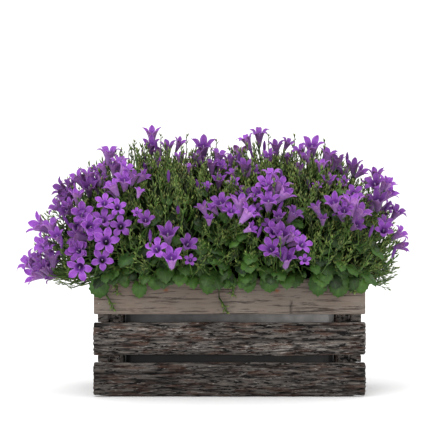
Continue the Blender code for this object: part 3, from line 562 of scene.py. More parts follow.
# A bloom of span 1: its tube as (height, radius) up to the throat, and its lobes' half widths along them
STAR_TUBE = ((-0.2, 0.06), (-0.1, 0.095), (0.06, 0.125), (0.22, 0.15), (0.34, 0.175), (0.41, 0.21))
STAR_LOBES = ((0.2, 0.13), (0.42, 0.162), (0.64, 0.163), (0.86, 0.115), (1, 0.01))
BELL_TUBE = ((-0.24, 0.06), (-0.14, 0.095), (0.02, 0.13), (0.18, 0.165), (0.32, 0.2), (0.43, 0.24))
BELL_LOBES = ((0.22, 0.155), (0.45, 0.152), (0.66, 0.124), (0.85, 0.075), (1, 0.006))
# For each kind of bloom: where its lobes bend and where they end, as (out, up), and how wavy they are
STARS = ((0.3, 0.6, 0.58, 0.58, 0.01), (0.34, 0.56, 0.57, 0.5, 0.016), (0.26, 0.62, 0.53, 0.68, 0.012))
BELLS = ((0.3, 0.68, 0.55, 0.7, 0.012), (0.34, 0.72, 0.58, 0.58, 0.014), (0.28, 0.64, 0.5, 0.74, 0.016))
# The calyx and the style of a bloom of span 1
OVARY_RADII = (0.085, 0.085, 0.09)
OVARY_HEIGHT = -0.2
SEPAL_LENGTH = 0.3
STYLE_LENGTH = 0.5
# For each kind of leaf: how far it droops, how deep its teeth are, and how narrow it is
LEAVES = ((0.1, 0.026, 1), (0.22, 0.03, 0.92), (0.04, 0.034, 0.82))
# For each kind of shoot: its seed, how many buds it has, and how much of its stem is bare
SPRIGS = ((1, 5, 0.35), (2, 6, 0.28), (3, 4, 0.5))
LOBES = 5
COLUMNS = 4
THROAT = 0.45
PETAL_THICKNESS = 0.016
LEAF_SIDES = 26
LEAF_THICKNESS = 0.022


def bloom_shape(tube, lobes, bend_out, bend_up, tip_out, tip_up, ruffle):
    """A bell of span 1 along +Z whose lobes follow a curve from the throat to the tip."""
    form = new_form()
    alongs, acrosses = form.verts.layers.float["along"], form.verts.layers.float["across"]
    count = LOBES * COLUMNS
    bmesh.ops.create_circle(form, segments=count, radius=tube[0][1])
    edges = list(form.edges)
    for vertex in form.verts:
        vertex.co.z = tube[0][0]
    for row, (height, radius) in enumerate(tube[1:], 1):
        edges, fresh = grown_row(form, edges)
        for vertex in fresh:
            flat = Vector((vertex.co.x, vertex.co.y, 0)).normalized()
            rib = 1 - 0.06 * math.cos(LOBES * math.atan2(flat.y, flat.x)) * row / len(tube)
            vertex.co = flat * (radius * rib) + UP * height
            vertex[alongs] = THROAT * row / (len(tube) - 1)
    throat = sorted(fresh, key=turn_of)
    root = Vector((tube[-1][1], 0, tube[-1][0]))
    bend = Vector((bend_out, 0, bend_up))
    tip = Vector((tip_out, 0, tip_up))
    for lobe in range(LOBES):
        corners = [throat[(lobe * COLUMNS + i) % count] for i in range(COLUMNS + 1)]
        middle = 2 * math.pi * (lobe + 0.5) / LOBES
        strip = [edge for edge in edges if all(corner in corners for corner in edge.verts)]
        out = Vector((math.cos(middle), math.sin(middle), 0))
        level = Vector((-out.y, out.x, 0))
        for share, half in lobes:
            strip, fresh = grown_row(form, strip)
            line = root * (1 - share) ** 2 + bend * (2 * share * (1 - share)) + tip * share ** 2
            for i, vertex in enumerate(sorted(fresh, key=lambda each: each.co.dot(level))):
                side = 2 * i / COLUMNS - 1
                lift = 0.035 * side * side * (1 - 0.5 * share)
                lift += ruffle * math.sin(3 * share + 2 * side + lobe)
                vertex.co = out * (line.x - 0.03 * side * side) + UP * (line.z + lift) + level * (half * side)
                vertex[alongs] = THROAT + (1 - THROAT) * share
                vertex[acrosses] = side
    outside = list(form.faces)
    bmesh.ops.solidify(form, geom=outside, thickness=PETAL_THICKNESS)
    for face in form.faces:
        face.material_index = 0 if face in outside else 1
    return template(form)


def turn_of(vertex):
    """A corner's angle round the bloom, from 0 up."""
    turn = math.atan2(vertex.co.y, vertex.co.x)
    return turn if turn > -1e-4 else turn + 2 * math.pi


def calyx_shape():
    """The green cup under a bloom of span 1, an ovary and five narrow sepals, and the style inside."""
    form = new_form()
    alongs, acrosses = form.verts.layers.float["along"], form.verts.layers.float["across"]
    bmesh.ops.create_uvsphere(form, u_segments=8, v_segments=5, radius=1)
    bmesh.ops.scale(form, vec=OVARY_RADII, verts=form.verts)
    bmesh.ops.translate(form, vec=(0, 0, OVARY_HEIGHT), verts=form.verts)
    for sepal in range(LOBES):
        turn = Matrix.Rotation(2 * math.pi * sepal / LOBES + 0.3, 4, "Z")
        lean = Matrix.Translation((0.085, 0, -0.17)) @ Matrix.Rotation(0.16, 4, "Y")
        blade = bmesh.ops.create_cone(form, segments=4, radius1=0.05, radius2=0.004, depth=SEPAL_LENGTH,
                                      cap_ends=True)["verts"]
        for vertex in blade:
            vertex[alongs] = 0.35 if vertex.co.z > 0 else 0
        bmesh.ops.translate(form, vec=(0, 0, 0.5 * SEPAL_LENGTH), verts=blade)
        bmesh.ops.scale(form, vec=(0.32, 1, 1), verts=blade)
        bmesh.ops.transform(form, matrix=turn @ lean, verts=blade)
    style = bmesh.ops.create_cone(form, segments=5, radius1=0.014, radius2=0.028, depth=STYLE_LENGTH,
                                  cap_ends=True)["verts"]
    for vertex in style:
        vertex[alongs] = 1
        vertex[acrosses] = 0.9
    bmesh.ops.translate(form, vec=(0, 0, 0.24), verts=style)
    return template(form)


def bud_shape():
    """A closed bud of length 1 along +Z, its width 1 before it is scaled, folded in five."""
    form = new_form()
    alongs = form.verts.layers.float["along"]
    bmesh.ops.create_uvsphere(form, u_segments=10, v_segments=7, radius=0.5)
    for vertex in form.verts:
        height = vertex.co.z + 0.5
        fold = 1 + 0.07 * math.cos(LOBES * math.atan2(vertex.co.y, vertex.co.x))
        taper = 1 - 0.5 * (1 - height) ** 2 - 0.45 * height ** 3
        vertex.co.x *= taper * fold
        vertex.co.y *= taper * fold
        vertex.co.z = height
        vertex[alongs] = height
    for face in form.faces:
        face.material_index = 1
    return template(form)


def leaf_shape(droop, teeth, narrow):
    """A heart-shaped blade of length 1 along +Y from its stalk, toothed like a saw, its face to +Z."""
    form = new_form()
    alongs, acrosses = form.verts.layers.float["along"], form.verts.layers.float["across"]
    bmesh.ops.create_circle(form, segments=LEAF_SIDES, radius=1, cap_ends=True)
    bmesh.ops.poke(form, faces=form.faces)
    for vertex in form.verts:
        reach = Vector((vertex.co.x, vertex.co.y)).length
        turn = math.atan2(vertex.co.x, vertex.co.y)
        outer = round(turn * LEAF_SIDES / (2 * math.pi)) % 2 == 0
        tooth = (teeth if outer else -teeth) if reach > 0.9 else 0
        outline = 0.5 + 0.045 * math.exp(-(turn / 0.4) ** 2) + 0.014 * math.cos(5 * turn)
        notch = 0.3 * math.exp(-((abs(turn) - math.pi) / 0.26) ** 2)
        radius = reach * (outline - notch + tooth)
        x = narrow * radius * math.sin(turn)
        y = 0.42 + radius * math.cos(turn)
        fold = 0.2 * abs(x) - 0.03 * math.cos(5 * turn) * reach
        vertex.co = Vector((x, y, fold - droop * y * y - 0.3 * x * x))
        vertex[alongs] = y + 0.08
        vertex[acrosses] = x
    bmesh.ops.solidify(form, geom=list(form.faces), thickness=LEAF_THICKNESS)
    return template(form)


def lance(form, root, way, length, half, along):
    """A narrow bud or bract of few faces: two four-sided cones, base to base."""
    ring = bmesh.ops.create_circle(form, segments=4, radius=half)["verts"]
    alongs = form.verts.layers.float["along"]
    edges = list({edge for vertex in ring for edge in vertex.link_edges})
    for height, value in ((-0.4 * length, 0.15), (0.6 * length, along)):
        grown = bmesh.ops.extrude_edge_only(form, edges=edges)["geom"]
        tip = [each for each in grown if isinstance(each, bmesh.types.BMVert)]
        bmesh.ops.translate(form, vec=(0, 0, height), verts=tip)
        bmesh.ops.pointmerge(form, verts=tip, merge_co=(0, 0, height))
        point = min(form.verts, key=lambda each: (each.co - Vector((0, 0, height))).length)
        point[alongs] = value
        ring.append(point)
    for vertex in ring[:4]:
        vertex[alongs] = 0.3
    bmesh.ops.transform(form, matrix=facing_way(root + way * (0.4 * length), way, 1), verts=ring)


def sprig_shape(seed, buds, bare):
    """An upright shoot of length 1 along +Z: its stem, a few narrow buds towards the top, and the top one."""
    draw = random.Random(seed)
    form = new_form()
    path = [Vector(), Vector((0.03 * math.sin(seed), 0.03 * math.cos(seed), 0.5)), UP * 0.86]
    sweep(form, path, [0.024, 0.02, 0.016], 3)
    for k in range(buds):
        height = bare + (0.8 - bare) * k / (buds - 1)
        turn = k * 2.4 + draw.uniform(-0.4, 0.4)
        way = Vector((math.cos(turn), math.sin(turn), draw.uniform(1.5, 2.6))).normalized()
        length = draw.uniform(0.2, 0.3)
        half = draw.uniform(0.024, 0.034)
        lance(form, UP * height, way, length, half, draw.uniform(0.5, 1))
    lance(form, UP * 0.8, UP, 0.22, 0.034, 1)
    return template(form)


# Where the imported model's blooms and leaves are

def corners_of(node):
    """A search tree of a CAD node's corners."""
    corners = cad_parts[node].data.vertices
    tree = KDTree(len(corners))
    for i, corner in enumerate(corners):
        tree.insert(corner.co, i)
    tree.balance()
    return tree


def depth_at(x, z):
    """How far forward the surface of the two mounds together lies, seen from the front."""
    upward = (z - HEART_HEIGHT) / (REACH_UP if z > HEART_HEIGHT else REACH_DOWN)
    depths = []
    for middle in PLANTS.values():
        across = (x - middle) / (REACH_LEFT if x < middle else REACH_RIGHT)
        depths.append(math.sqrt(max(0, 1 - across * across - upward * upward)))
    return REACH_FRONT * max(depths)


def looking(name):
    """The direction that a bloom of the front looks in."""
    right, up = FACING[name]
    return Vector((right, -math.sqrt(max(0, 1 - right * right - up * up)), up)).normalized()


def marks_of(mouth, way, span):
    """Points that only the solid's own bloom or bud has: its lobes' tips, or its apex."""
    if span <= 0:
        return [mouth + way * (0.5 * reach_of(span))]
    side, other = frame_along(way)
    base = mouth - way * (0.5 * span)
    turns = [2 * math.pi * (lobe + 0.5) / LOBES for lobe in range(LOBES)]
    return [base + (side * math.cos(turn) + other * math.sin(turn)) * (0.5 * span) + way * (0.63 * span)
            for turn in turns]


def found_items(node, middle, name, turned):
    """The blooms and buds of one CAD spray, each where the solid has it: (mouth, way, span)."""
    corners = corners_of(node)
    share = (REAR_SHARE if turned else DEPTH_SHARE).get(name, 1)
    back = -1 if turned else 1
    found = []
    for right, height, facing, span in SPRAYS[name]:
        x = back * middle + right * MM
        mouth = Vector((back * x, -back * share * depth_at(x, height * MM), height * MM))
        way = looking(facing)
        way = Vector((back * way.x, back * way.y, way.z))
        size = span * MM if span > 0 else span
        for shift in DEPTH_SHIFTS:
            moved = mouth + Vector((0, back * shift * MM, 0))
            marks = marks_of(moved, way, size)
            near = sum(corners.find(mark)[2] < SAME_CORNER for mark in marks)
            if near > 0.5 * len(marks):
                found.append((moved, way, size))
                break
    return found


def core_form(middle):
    """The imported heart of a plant: a bumpy dome, flat where it meets its neighbour."""
    inward = -1 if middle > 0 else 1
    rows = [(radius, radius, radius, radius, height, 0) for radius, height in CORE_NECK]
    for share, height in CORE_DOME:
        reaches = [share * reach for reach in (REACH_LEFT, REACH_RIGHT, CORE_FRONT_DEPTH, REACH_FRONT)]
        rows.append((*reaches, height, CORE_BUMP))
    form = new_form()
    column = form.verts.layers.int.new("column")
    ring = bmesh.ops.create_circle(form, segments=CORE_SIDES, radius=1, cap_ends=True)["verts"]
    for vertex in ring:
        vertex[column] = round(math.atan2(vertex.co.y, vertex.co.x) * CORE_SIDES / (2 * math.pi))
    cap = ring[0].link_faces[0]
    for row, (left, right, front, rear, height, bump) in enumerate(rows):
        if row:
            cap = grown_cap(form, cap)
        for vertex in cap.verts:
            turn = 2 * math.pi * (vertex[column] + 0.5 * (row % 2)) / CORE_SIDES
            push = bump * math.cos(math.pi * vertex[column] + row)
            x = middle + math.cos(turn) * (push + (left if math.cos(turn) < 0 else right))
            y = math.sin(turn) * (push + (front if math.sin(turn) < 0 else rear))
            if x * inward > -CORE_GAP:
                x = -CORE_GAP * inward
            vertex.co = Vector((x, y, height))
    bmesh.ops.recalc_face_normals(form, faces=form.faces)
    return form


def leaf_tip(base, along, normal, length):
    """Where the solid's leaf has its tip."""
    return base + along * length - normal * (0.12 * length)


def found_rim_leaves(side, corners):
    """The leaves of one CAD plant that hang over the rim: (base, along, normal, length, stalk's path)."""
    middle = PLANTS[side]
    found = []
    for face in (-1, 1):
        for right, height, length in RIM_LEAVES:
            length *= MM
            x = (PLANTS["left"] + right * MM) * -face
            base = Vector((x, face * (CRATE_FACE + RIM_LEAF_OUT), height * MM + 0.5 * length))
            along = Vector((0.12 * math.sin(right), face * 0.1, -1)).normalized()
            normal = Vector((0, face, -0.1))
            if corners.find(leaf_tip(base, along, normal, length))[2] < SAME_RIM_LEAF:
                rim = Vector((x, face * (CRATE_FACE + 0.5 * MM), max(RIM_HEIGHT + 3 * MM, base.z)))
                root_x = middle + (x - middle) * RIM_ROOT_SHARE
                inner = Vector((root_x, face * RIM_ROOT_DEPTH, RIM_HEIGHT + RIM_ROOT_RISE))
                found.append((base, along, normal, length, [inner, rim, base + along * 2 * MM]))
    return found


def found_mound_leaves(side, corners, core_tree):
    """The leaves that stand out of one CAD plant's core, each where the solid has one."""
    draw = random.Random(side)
    heart = Vector((PLANTS[side], 0, HEART_HEIGHT))
    found = []
    for k in range(LEAVES_PER_PLANT):
        rise = -0.05 + 0.95 * (k + 0.5) / LEAVES_PER_PLANT
        outward = on_sphere(rise, k * math.pi * (3 - math.sqrt(5)))
        length = draw.uniform(*LEAF_SPAN)
        lean = leaning(draw, 0.3, -0.3, 0.1)
        hit = core_tree.ray_cast(heart, outward)[0]
        for out in LEAF_OUTS:
            base = hit + outward * out
            along, normal = leaf_pose(outward, lean)
            if corners.find(leaf_tip(base, along, normal, length))[2] < SAME_MOUND_LEAF:
                found.append((base, along, normal, length, [hit - outward * 4 * MM, base]))
                break
    return found


def on_sphere(rise, turn):
    """A direction from how far it rises and which way it turns."""
    flat = math.sqrt(max(0, 1 - rise * rise))
    return Vector((flat * math.cos(turn), flat * math.sin(turn), rise))


def leaning(draw, side, low, high):
    """A lean at random: as far as side either way along X and Y, and from low to high along Z."""
    return Vector((draw.uniform(-side, side), draw.uniform(-side, side), draw.uniform(low, high)))


def leaf_pose(outward, lean):
    """Which way a leaf of the mound points, and which way its face looks."""
    down = (outward * 0.75 - UP * 0.6 + lean).normalized()
    normal = (outward * 0.7 + UP * 0.7).normalized()
    along = (down - normal * down.dot(normal) * 0.8).normalized()
    normal = (normal - along * normal.dot(along)).normalized()
    return along, normal


# The plants

def plant_of(side):
    """A plant's middle, which way along X its neighbour stands, and its heart."""
    middle = PLANTS[side]
    return middle, -1 if middle > 0 else 1, Vector((middle, 0, HEART_HEIGHT))


def mound_reach(outward):
    """How far a mound's skin lies from the plant's heart, one way."""
    across = REACH_LEFT if outward.x < 0 else REACH_RIGHT
    rise = REACH_UP if outward.z > 0 else REACH_DOWN
    parts = (outward.x / across, outward.y / REACH_FRONT, outward.z / rise)
    return 1 / math.sqrt(sum(part * part for part in parts))


def put_leaf(form, shape, base, along, normal, length, tint):
    """One leaf from its stalk's end, with its shade."""
    put(form, shape, placing(base, along.cross(normal), along, normal, length), tint)


def put_fill(leaves, stems, side, core_tree, blades, draw):
    """Leaves of the mound's skin on their stalks: most of them low, few far out, none below the rim, the
    deeper ones darker as painted shade.
    """
    middle, inward, heart = plant_of(side)
    near, far = FILL_SHARE
    for k in range(FILL_LEAVES):
        rise = -0.12 + 0.85 * ((k + 0.5) / FILL_LEAVES) ** 2.6
        outward = on_sphere(rise, k * TURN_STEP + draw.uniform(-0.2, 0.2))
        share = draw.uniform(near, far)
        base = heart + outward * (mound_reach(outward) * share)
        length = draw.uniform(*FILL_SPAN) * (1 - 0.4 * max(0, rise))
        lean = leaning(draw, 0.5, -0.4, 0.3)
        # Painted shade: a leaf set deeper into the mound gets a darker tint
        lit = 0.3 + 0.7 * (share - near) / (far - near)
        tint = draw.uniform(0, 1) * lit * (1.1 - 0.6 * max(0, rise))
        far_out = (base.x - middle) * inward < -60 * MM and k % 4
        if base.x * inward > 6 * MM or base.z < RIM_HEIGHT + 4 * MM or far_out:
            continue
        along, normal = leaf_pose(outward, lean)
        put_leaf(leaves, draw.choice(blades), base, along, normal, length, tint)
        hit = core_tree.ray_cast(heart, outward)[0]
        if hit and (base - hit).length > 4 * MM:
            droop = UP * draw.uniform(0, 4) * MM
            sweep(stems, bent(hit - outward * 2 * MM, base, droop, 3), FILL_STALK, 4, 0.3)


def put_under(leaves, side, blades, draw):
    """Leaves under the mound's skin, given dark tints as painted shade."""
    _, inward, heart = plant_of(side)
    for k in range(UNDER_LEAVES):
        outward = on_sphere(-0.1 + 0.75 * (k + 0.5) / UNDER_LEAVES, k * TURN_STEP + draw.uniform(-0.2, 0.2))
        base = heart + outward * (mound_reach(outward) * draw.uniform(*UNDER_SHARE))
        along, normal = leaf_pose(outward, leaning(draw, 0.5, -0.4, 0.3))
        length = draw.uniform(*UNDER_SPAN)
        if base.x * inward < 2 * MM and base.z > RIM_HEIGHT + 6 * MM:
            # Painted shade: dark tints for the leaves under the skin
            put_leaf(leaves, draw.choice(blades), base, along, normal, length, draw.uniform(0, 0.3))


def put_skirt(leaves, stems, side, blades, draw):
    """Small leaves that hang just over the crate's rim, in front and behind."""
    middle, inward, _ = plant_of(side)
    for face in (-1, 1):
        for _ in range(SKIRT_LEAVES):
            x = middle - inward * 4 * MM + draw.uniform(-54, 54) * MM
            base = Vector((x, face * (CRATE_FACE + draw.uniform(2, 4.5) * MM), draw.uniform(99, 109) * MM))
            along = Vector((draw.uniform(-0.6, 0.6), face * draw.uniform(0, 0.2), -1)).normalized()
            normal = Vector((draw.uniform(-0.3, 0.3), face, draw.uniform(-0.1, 0.5)))
            length = draw.uniform(*SKIRT_SPAN)
            normal = (normal - along * normal.dot(along)).normalized()
            put_leaf(leaves, draw.choice(blades), base, along, normal, length, draw.uniform(0, 0.85))
            inner = Vector((x, face * 52 * MM, RIM_HEIGHT + 8 * MM))
            sweep(stems, bent(inner, base, UP * 2 * MM, 2), SKIRT_STALK, 4, 0.6)


def build_plant(side, shapes, finishes):
    """One plant's leaves, stems and shaded heart, where its CAD solid is, and the leaves that fill it."""
    node = "plant_" + side
    middle = PLANTS[side]
    corners = corners_of(node)
    core = core_form(middle)
    core_tree = BVHTree.FromBMesh(core)
    leaves = new_form()
    stems = new_form()
    blades = shapes["leaves"]
    draw = random.Random("leaves " + side)
    for base, along, normal, length, path in found_rim_leaves(side, corners):
        put_leaf(leaves, draw.choice(blades), base, along, normal, length, draw.uniform(0.3, 1))
        sweep(stems, path, RIM_STALK, 5, 0.5)
    for base, along, normal, length, path in found_mound_leaves(side, corners, core_tree):
        put_leaf(leaves, draw.choice(blades), base, along, normal, 0.85 * length, draw.uniform(0, 0.7))
        sweep(stems, path, MOUND_STALK, 5, 0.4)
    put_fill(leaves, stems, side, core_tree, blades, draw)
    put_under(leaves, side, blades, draw)
    put_skirt(leaves, stems, side, blades, draw)
    for x, y in CROWN_STEMS:
        ends = [Vector((middle + x, y, height)) for height in (STEM_FOOT, STEM_HEAD)]
        sweep(stems, ends, (STEM_RADIUS, STEM_RADIUS), 10, 0.1)
    level = Matrix.Translation((0, 0, -HEART_HEIGHT))
    bmesh.ops.scale(core, vec=HEART_SHARE, space=level, verts=core.verts)
    piece(node + "_leaves", leaves, [finishes["leaf"]], [node])
    piece(node + "_stems", stems, [finishes["shoot"]])
    piece(node + "_heart", core, [finishes["heart"]])
    return core_tree


def put_shoots(form, side, core_tree, sprigs, draw):
    """Upright shoots all over a mound and under its skin, each on its stem from the heart; those under the
    skin darkened as painted shade.
    """
    _, inward, heart = plant_of(side)
    for k in range(FILL_SPRIGS + UNDER_SPRIGS):
        below = k >= FILL_SPRIGS
        if below:
            rise = 1 - 0.65 * draw.random() ** 1.6
            reach = draw.uniform(0.76, 0.88)
        else:
            rise = -0.14 + 1.11 * (k + 0.5) / FILL_SPRIGS
            reach = draw.uniform(0.8, 0.97) + 0.04 * max(0, rise)
        outward = on_sphere(rise, k * TURN_STEP + draw.uniform(-0.3, 0.3))
        tip = heart + outward * (mound_reach(outward) * reach)
        level = 0.3 + 0.35 * abs(outward.y)
        swing = Vector((draw.uniform(-level, level), draw.uniform(-0.3, 0.3), 0))
        spread = (0.9 - 0.5 * rise) * (1 - 0.5 * abs(outward.y))
        growth = (outward * spread + UP * (0.45 + 0.5 * rise) + swing).normalized()
        length = draw.uniform(*SPRIG_LENGTH)
        base = tip - growth * length
        beside = abs(base.x) > CRATE_SIDE and base.z > RIM_HEIGHT - 8 * MM
        if tip.x * inward > 4 * MM or base.z < RIM_HEIGHT and not beside:
            continue
        # Painted shade: shoots under the skin get dark tints
        tint = draw.uniform(0, 0.35) if below else draw.uniform(0, 1) ** (1.3 if rise > 0.35 else 0.7)
        spin = draw.uniform(0, 2 * math.pi)
        put(form, draw.choice(sprigs), facing_way(base, growth, length, spin), tint)
        root = core_tree.ray_cast(heart, (base - heart).normalized())[0]
        if root and (base - heart).length > (root - heart).length:
            sweep(form, [root, base], SHOOT_STALK, 3, tint)


def put_arches(form, side, sprigs, draw):
    """Longer shoots that arch out beyond the crate's end."""
    middle, inward, _ = plant_of(side)
    for _ in range(ARCHES):
        depth = draw.uniform(-48, 48) * MM
        start = Vector((middle - inward * 52 * MM, 0.8 * depth, draw.uniform(100, 108) * MM))
        out = draw.uniform(*ARCH_OUT[side])
        tip = Vector((middle - inward * out, depth, draw.uniform(89, 104) * MM))
        path = bent(start, tip, UP * draw.uniform(2, 5) * MM, 3)
        sweep(form, path, ARCH_STALK, 4, draw.uniform(0.75, 1))
        way = Vector((-inward, draw.uniform(-0.4, 0.4), draw.uniform(-0.3, 0.5))).normalized()
        put(form, draw.choice(sprigs), facing_way(tip - way * 4 * MM, way, ARCH_SPRIG), draw.uniform(0.7, 1))


def put_twigs(form, side, sprig):
    """Twigs that hang over the front of the rim beside one plant."""
    middle, inward, _ = plant_of(side)
    for x, height, sideways in TWIGS:
        if (x * MM - middle) * inward < 46 * MM and x * inward < 0:
            way = Vector((sideways, 0, -1)).normalized()
            tip = Vector((x * MM, -CRATE_FACE - 2.6 * MM, height * MM))
            base = tip - way * TWIG_LENGTH
            thick = Matrix.Diagonal((TWIG_WIDTH, TWIG_WIDTH, 1, 1))
            put(form, sprig, facing_way(base, way, TWIG_LENGTH) @ thick, 0.6)
            inner = Vector((base.x, -50 * MM, RIM_HEIGHT + 9 * MM))
            rim = Vector((base.x, -CRATE_FACE - 1 * MM, RIM_HEIGHT + 2 * MM))
            sweep(form, [inner, rim, base], TWIG_STALK, 4, 0.7)


def build_sprigs(side, core_tree, shapes, finishes):
    """All the green shoots of one plant, as one piece."""
    form = new_form()
    draw = random.Random("shoots " + side)
    put_shoots(form, side, core_tree, shapes["sprigs"], draw)
    put_arches(form, side, shapes["sprigs"], draw)
    put_twigs(form, side, shapes["sprigs"][1])
    piece(f"plant_{side}_shoots", form, [finishes["shoot"]])


def build_spray(node, side, name, turned, cores, shapes, finishes):
    """One flowering spray: its bells and buds on curved stalks, in the places of its CAD solid."""
    items = found_items(node, PLANTS[side], name, turned)
    draw = random.Random(node)
    blooms = new_form()
    greens = new_form()
    feet = [mouth - way * (0.5 * reach_of(span)) for mouth, way, span in items]
    centre = sum(feet, Vector()) / len(feet)
    nearest = min(PLANTS, key=lambda each: abs(PLANTS[each] - centre.x))
    _, _, heart = plant_of(nearest)
    outward = (centre - heart).normalized()
    root = cores[nearest].ray_cast(heart, outward)[0]
    hub = root + outward * (0.35 * max(12 * MM, (centre - root).length))
    sweep(greens, bent(root - outward * 3 * MM, hub, Vector(), 2), SPRAY_STEM, 6, 0.45)
    facing = 1 if turned else -1
    swell = BLOOM_SWELL.get(name, 1.1)
    slim = Matrix.Diagonal((BUD_SLIMNESS, BUD_SLIMNESS, 1, 1))
    for (_, way, span), foot in zip(items, feet):
        way = (way + UP * LIFT.get(name, 0)).normalized()
        put_stalk(greens, shapes, hub, foot, way, reach_of(span), draw)
        if span > 0:
            put_bloom(blooms, greens, shapes, foot, way, span * swell, way.y * facing, draw)
        elif span == 0:
            put(blooms, shapes["bud"], facing_way(foot, way, BUD_LENGTH) @ slim, draw.uniform(0, 0.25))
            put(greens, shapes["calyx"], facing_way(foot, way, BUD_LENGTH), draw.uniform(0.2, 0.7))
        else:
            spike = facing_way(foot - way * SPIKE_SUNK, way, SPIKE_SPRIG)
            put(greens, draw.choice(shapes["sprigs"]), spike, draw.uniform(0.2, 0.9))
        if span > COMPANION_SPAN and name in CLUSTERS:
            side_way, other = frame_along(way)
            turn = draw.uniform(0, 2 * math.pi)
            aside = side_way * math.cos(turn) + other * math.sin(turn)
            if aside.z < 0 and foot.z < RIM_HEIGHT + 4 * MM:
                aside = -aside
            beside = foot + aside * (0.5 * span) - way * (0.3 * span)
            leant = (way + aside * 0.5 + outward * 0.3).normalized()
            put_stalk(greens, shapes, hub, beside, leant, span, draw)
            size = span * draw.uniform(0.8, 1)
            put_bloom(blooms, greens, shapes, beside, leant, size, way.y * facing, draw)
    flowering = len(blooms.verts) > 0
    if flowering:
        piece(node + "_bells", blooms, [finishes["petal back"], finishes["petal face"]], [node])
    piece(node + "_stalks", greens, [finishes["shoot"]], [] if flowering else [node])


def put_stalk(form, shapes, hub, foot, way, reach, draw):
    """A pedicel that leaves the spray's stem and bends into the way of its bloom, a young shoot on it."""
    below = foot - way * (0.2 * reach)
    bend = below - way * min(0.28 * (below - hub).length, 8 * MM)
    path = [hub * (1 - t) ** 2 + bend * (2 * t * (1 - t)) + below * t * t for t in (0, 0.25, 0.5, 0.75, 1)]
    sweep(form, path, BLOOM_STALK, 4, draw.uniform(0.6, 1))
    if (below - hub).length > LONG_STALK:
        growth = ((path[3] - path[1]).normalized() + UP * 0.4).normalized()
        put(form, shapes["sprigs"][0], facing_way(path[2], growth, STALK_SPRIG), 0.8)


def put_bloom(blooms, greens, shapes, foot, way, span, frontal, draw):
    """A bell with its calyx: spread like a star if it looks at the front, or else a funnel."""
    shape = draw.choice(shapes["stars"] if frontal > 0.72 else shapes["bells"])
    place = facing_way(foot, way, span, draw.uniform(0, 2))
    put(blooms, shape, place, draw.uniform(0, 1))
    put(greens, shapes["calyx"], place, draw.uniform(0.2, 0.7))


def reach_of(span):
    """An item's length along its way: the span of a bloom, or the length of a bud or spike."""
    return span if span > 0 else BUD_LENGTH if span == 0 else SPIKE_LENGTH


# The crate

WALLS = {"front": Vector((0, -1, 0)), "back": Vector((0, 1, 0)),
         "left": Vector((-1, 0, 0)), "right": Vector((1, 0, 0))}
SIDE_GAPS = ((28.2 * MM, 34 * MM), (61.3 * MM, 68.5 * MM))
# The offcuts' width and rounding, how far in from the side they lie, and how far from the middle
OFFCUT_SIDE = 9 * MM
OFFCUT_EDGE = 0.8 * MM
OFFCUT_INSET = 4.1 * MM
OFFCUT_DEPTH = 47 * MM
NAIL_RADIUS = 0.7 * MM
NAIL_FACE = 0.5 * MM
NAIL_DEPTH = 0.6 * MM
FINE_CELL = 1.15 * MM
HIDDEN_CELL = 2.4 * MM
# Places in mm on the front boards: long cracks as (from, to, height), their shade painted dark, and bleached
# or rusty patches as (middle, height, half length, half height), of which the long band at height 41 is a
# painted highlight
LONG_CRACKS = {"crate_front_middle": (-12, 112, 47.5), "crate_front_low": (-112, -38, 20.4)}
PATCHES = {
    "crate_front_middle": ((46, 41, 55, 3), (112, 48, 2, 14), (-60, 56, 30, 2)),
    "crate_front_low": ((82, 9, 12, 5), (112, 17, 2, 14), (20, 24, 40, 2)),
    "crate_front_top": ((-52.3, 88.6, 2, 1.3), (39, 88, 2, 1.3)),
}
SPLIT_BOARD = "crate_front_top"
SPLIT_AT = 50.5
SPLIT_TO = 81


def ripple(x, y, z):
    """Smooth noise at a place, from about -1 to 1."""
    return noise.noise(Vector((x, y, z)))


def bark_relief(node, run, height, seed):
    """How far bark stands out in mm at a place in mm, and how much painted shade its crevices and cracks get,
    from 0 to 1.
    """
    warp = 2.6 * ripple(run / 38, height / 16, seed)
    plates = ripple(run / 55, (height + warp) / 3.3, seed + 7)
    fissure = math.exp(-(plates / 0.09) ** 2)
    broad = ripple(run / 60, height / 9, seed + 13)
    flakes = ripple(run / 12, (height + warp) / 1.7, seed + 29)
    fine = ripple(run / 5, height / 1.2, seed + 19)
    out = 0.8 * broad + 0.7 * flakes + 0.4 * fine - 1.2 * fissure
    if node in LONG_CRACKS:
        first, last, level = LONG_CRACKS[node]
        if first < run < last:
            line = level + 1.6 * ripple(run / 17, 3, seed)
            crack = math.exp(-((height - line) / 1.1) ** 2)
            out -= 1.6 * crack
            fissure = max(fissure, crack)
    return out, min(1, 0.85 * fissure + max(0, -0.5 * flakes))


def sawn_relief(node, run, height, seed):
    """The grain that weather has raised on a sawn board, and its one split, with the painted shade in its
    grain lines and split.
    """
    wave = 2 * ripple(run / 50, height / 20, seed)
    grain = ripple(run / 60, (height + wave) / 1.5, seed + 5)
    crevice_shade = 0.35 * math.exp(-((grain + 0.1) / 0.05) ** 2)
    out = 0.16 * grain
    if node == SPLIT_BOARD and height < SPLIT_TO:
        line = SPLIT_AT + 0.8 * ripple(height / 4, 1, seed)
        split = math.exp(-((run - line) / 0.7) ** 2) * min(1, (SPLIT_TO - height) / 3)
        out -= 0.8 * split
        crevice_shade = max(crevice_shade, split)
    return out, crevice_shade


def soil_relief(node, run, height, seed):
    """Loose crumbs."""
    crumb = ripple(run / 3, height / 3, seed)
    return 0.9 * crumb, max(0, -crumb)


def paleness(node, run, height):
    """How much a place on a board, in mm, is bleached, grown over with lichen, rusty, or brightened by a band
    of painted highlight, from 0 to 1.
    """
    amounts = [0]
    for middle, level, long, high in PATCHES.get(node, ()):
        amounts.append(math.exp(-((run - middle) / long) ** 2 - ((height - level) / high) ** 2))
    return max(amounts)


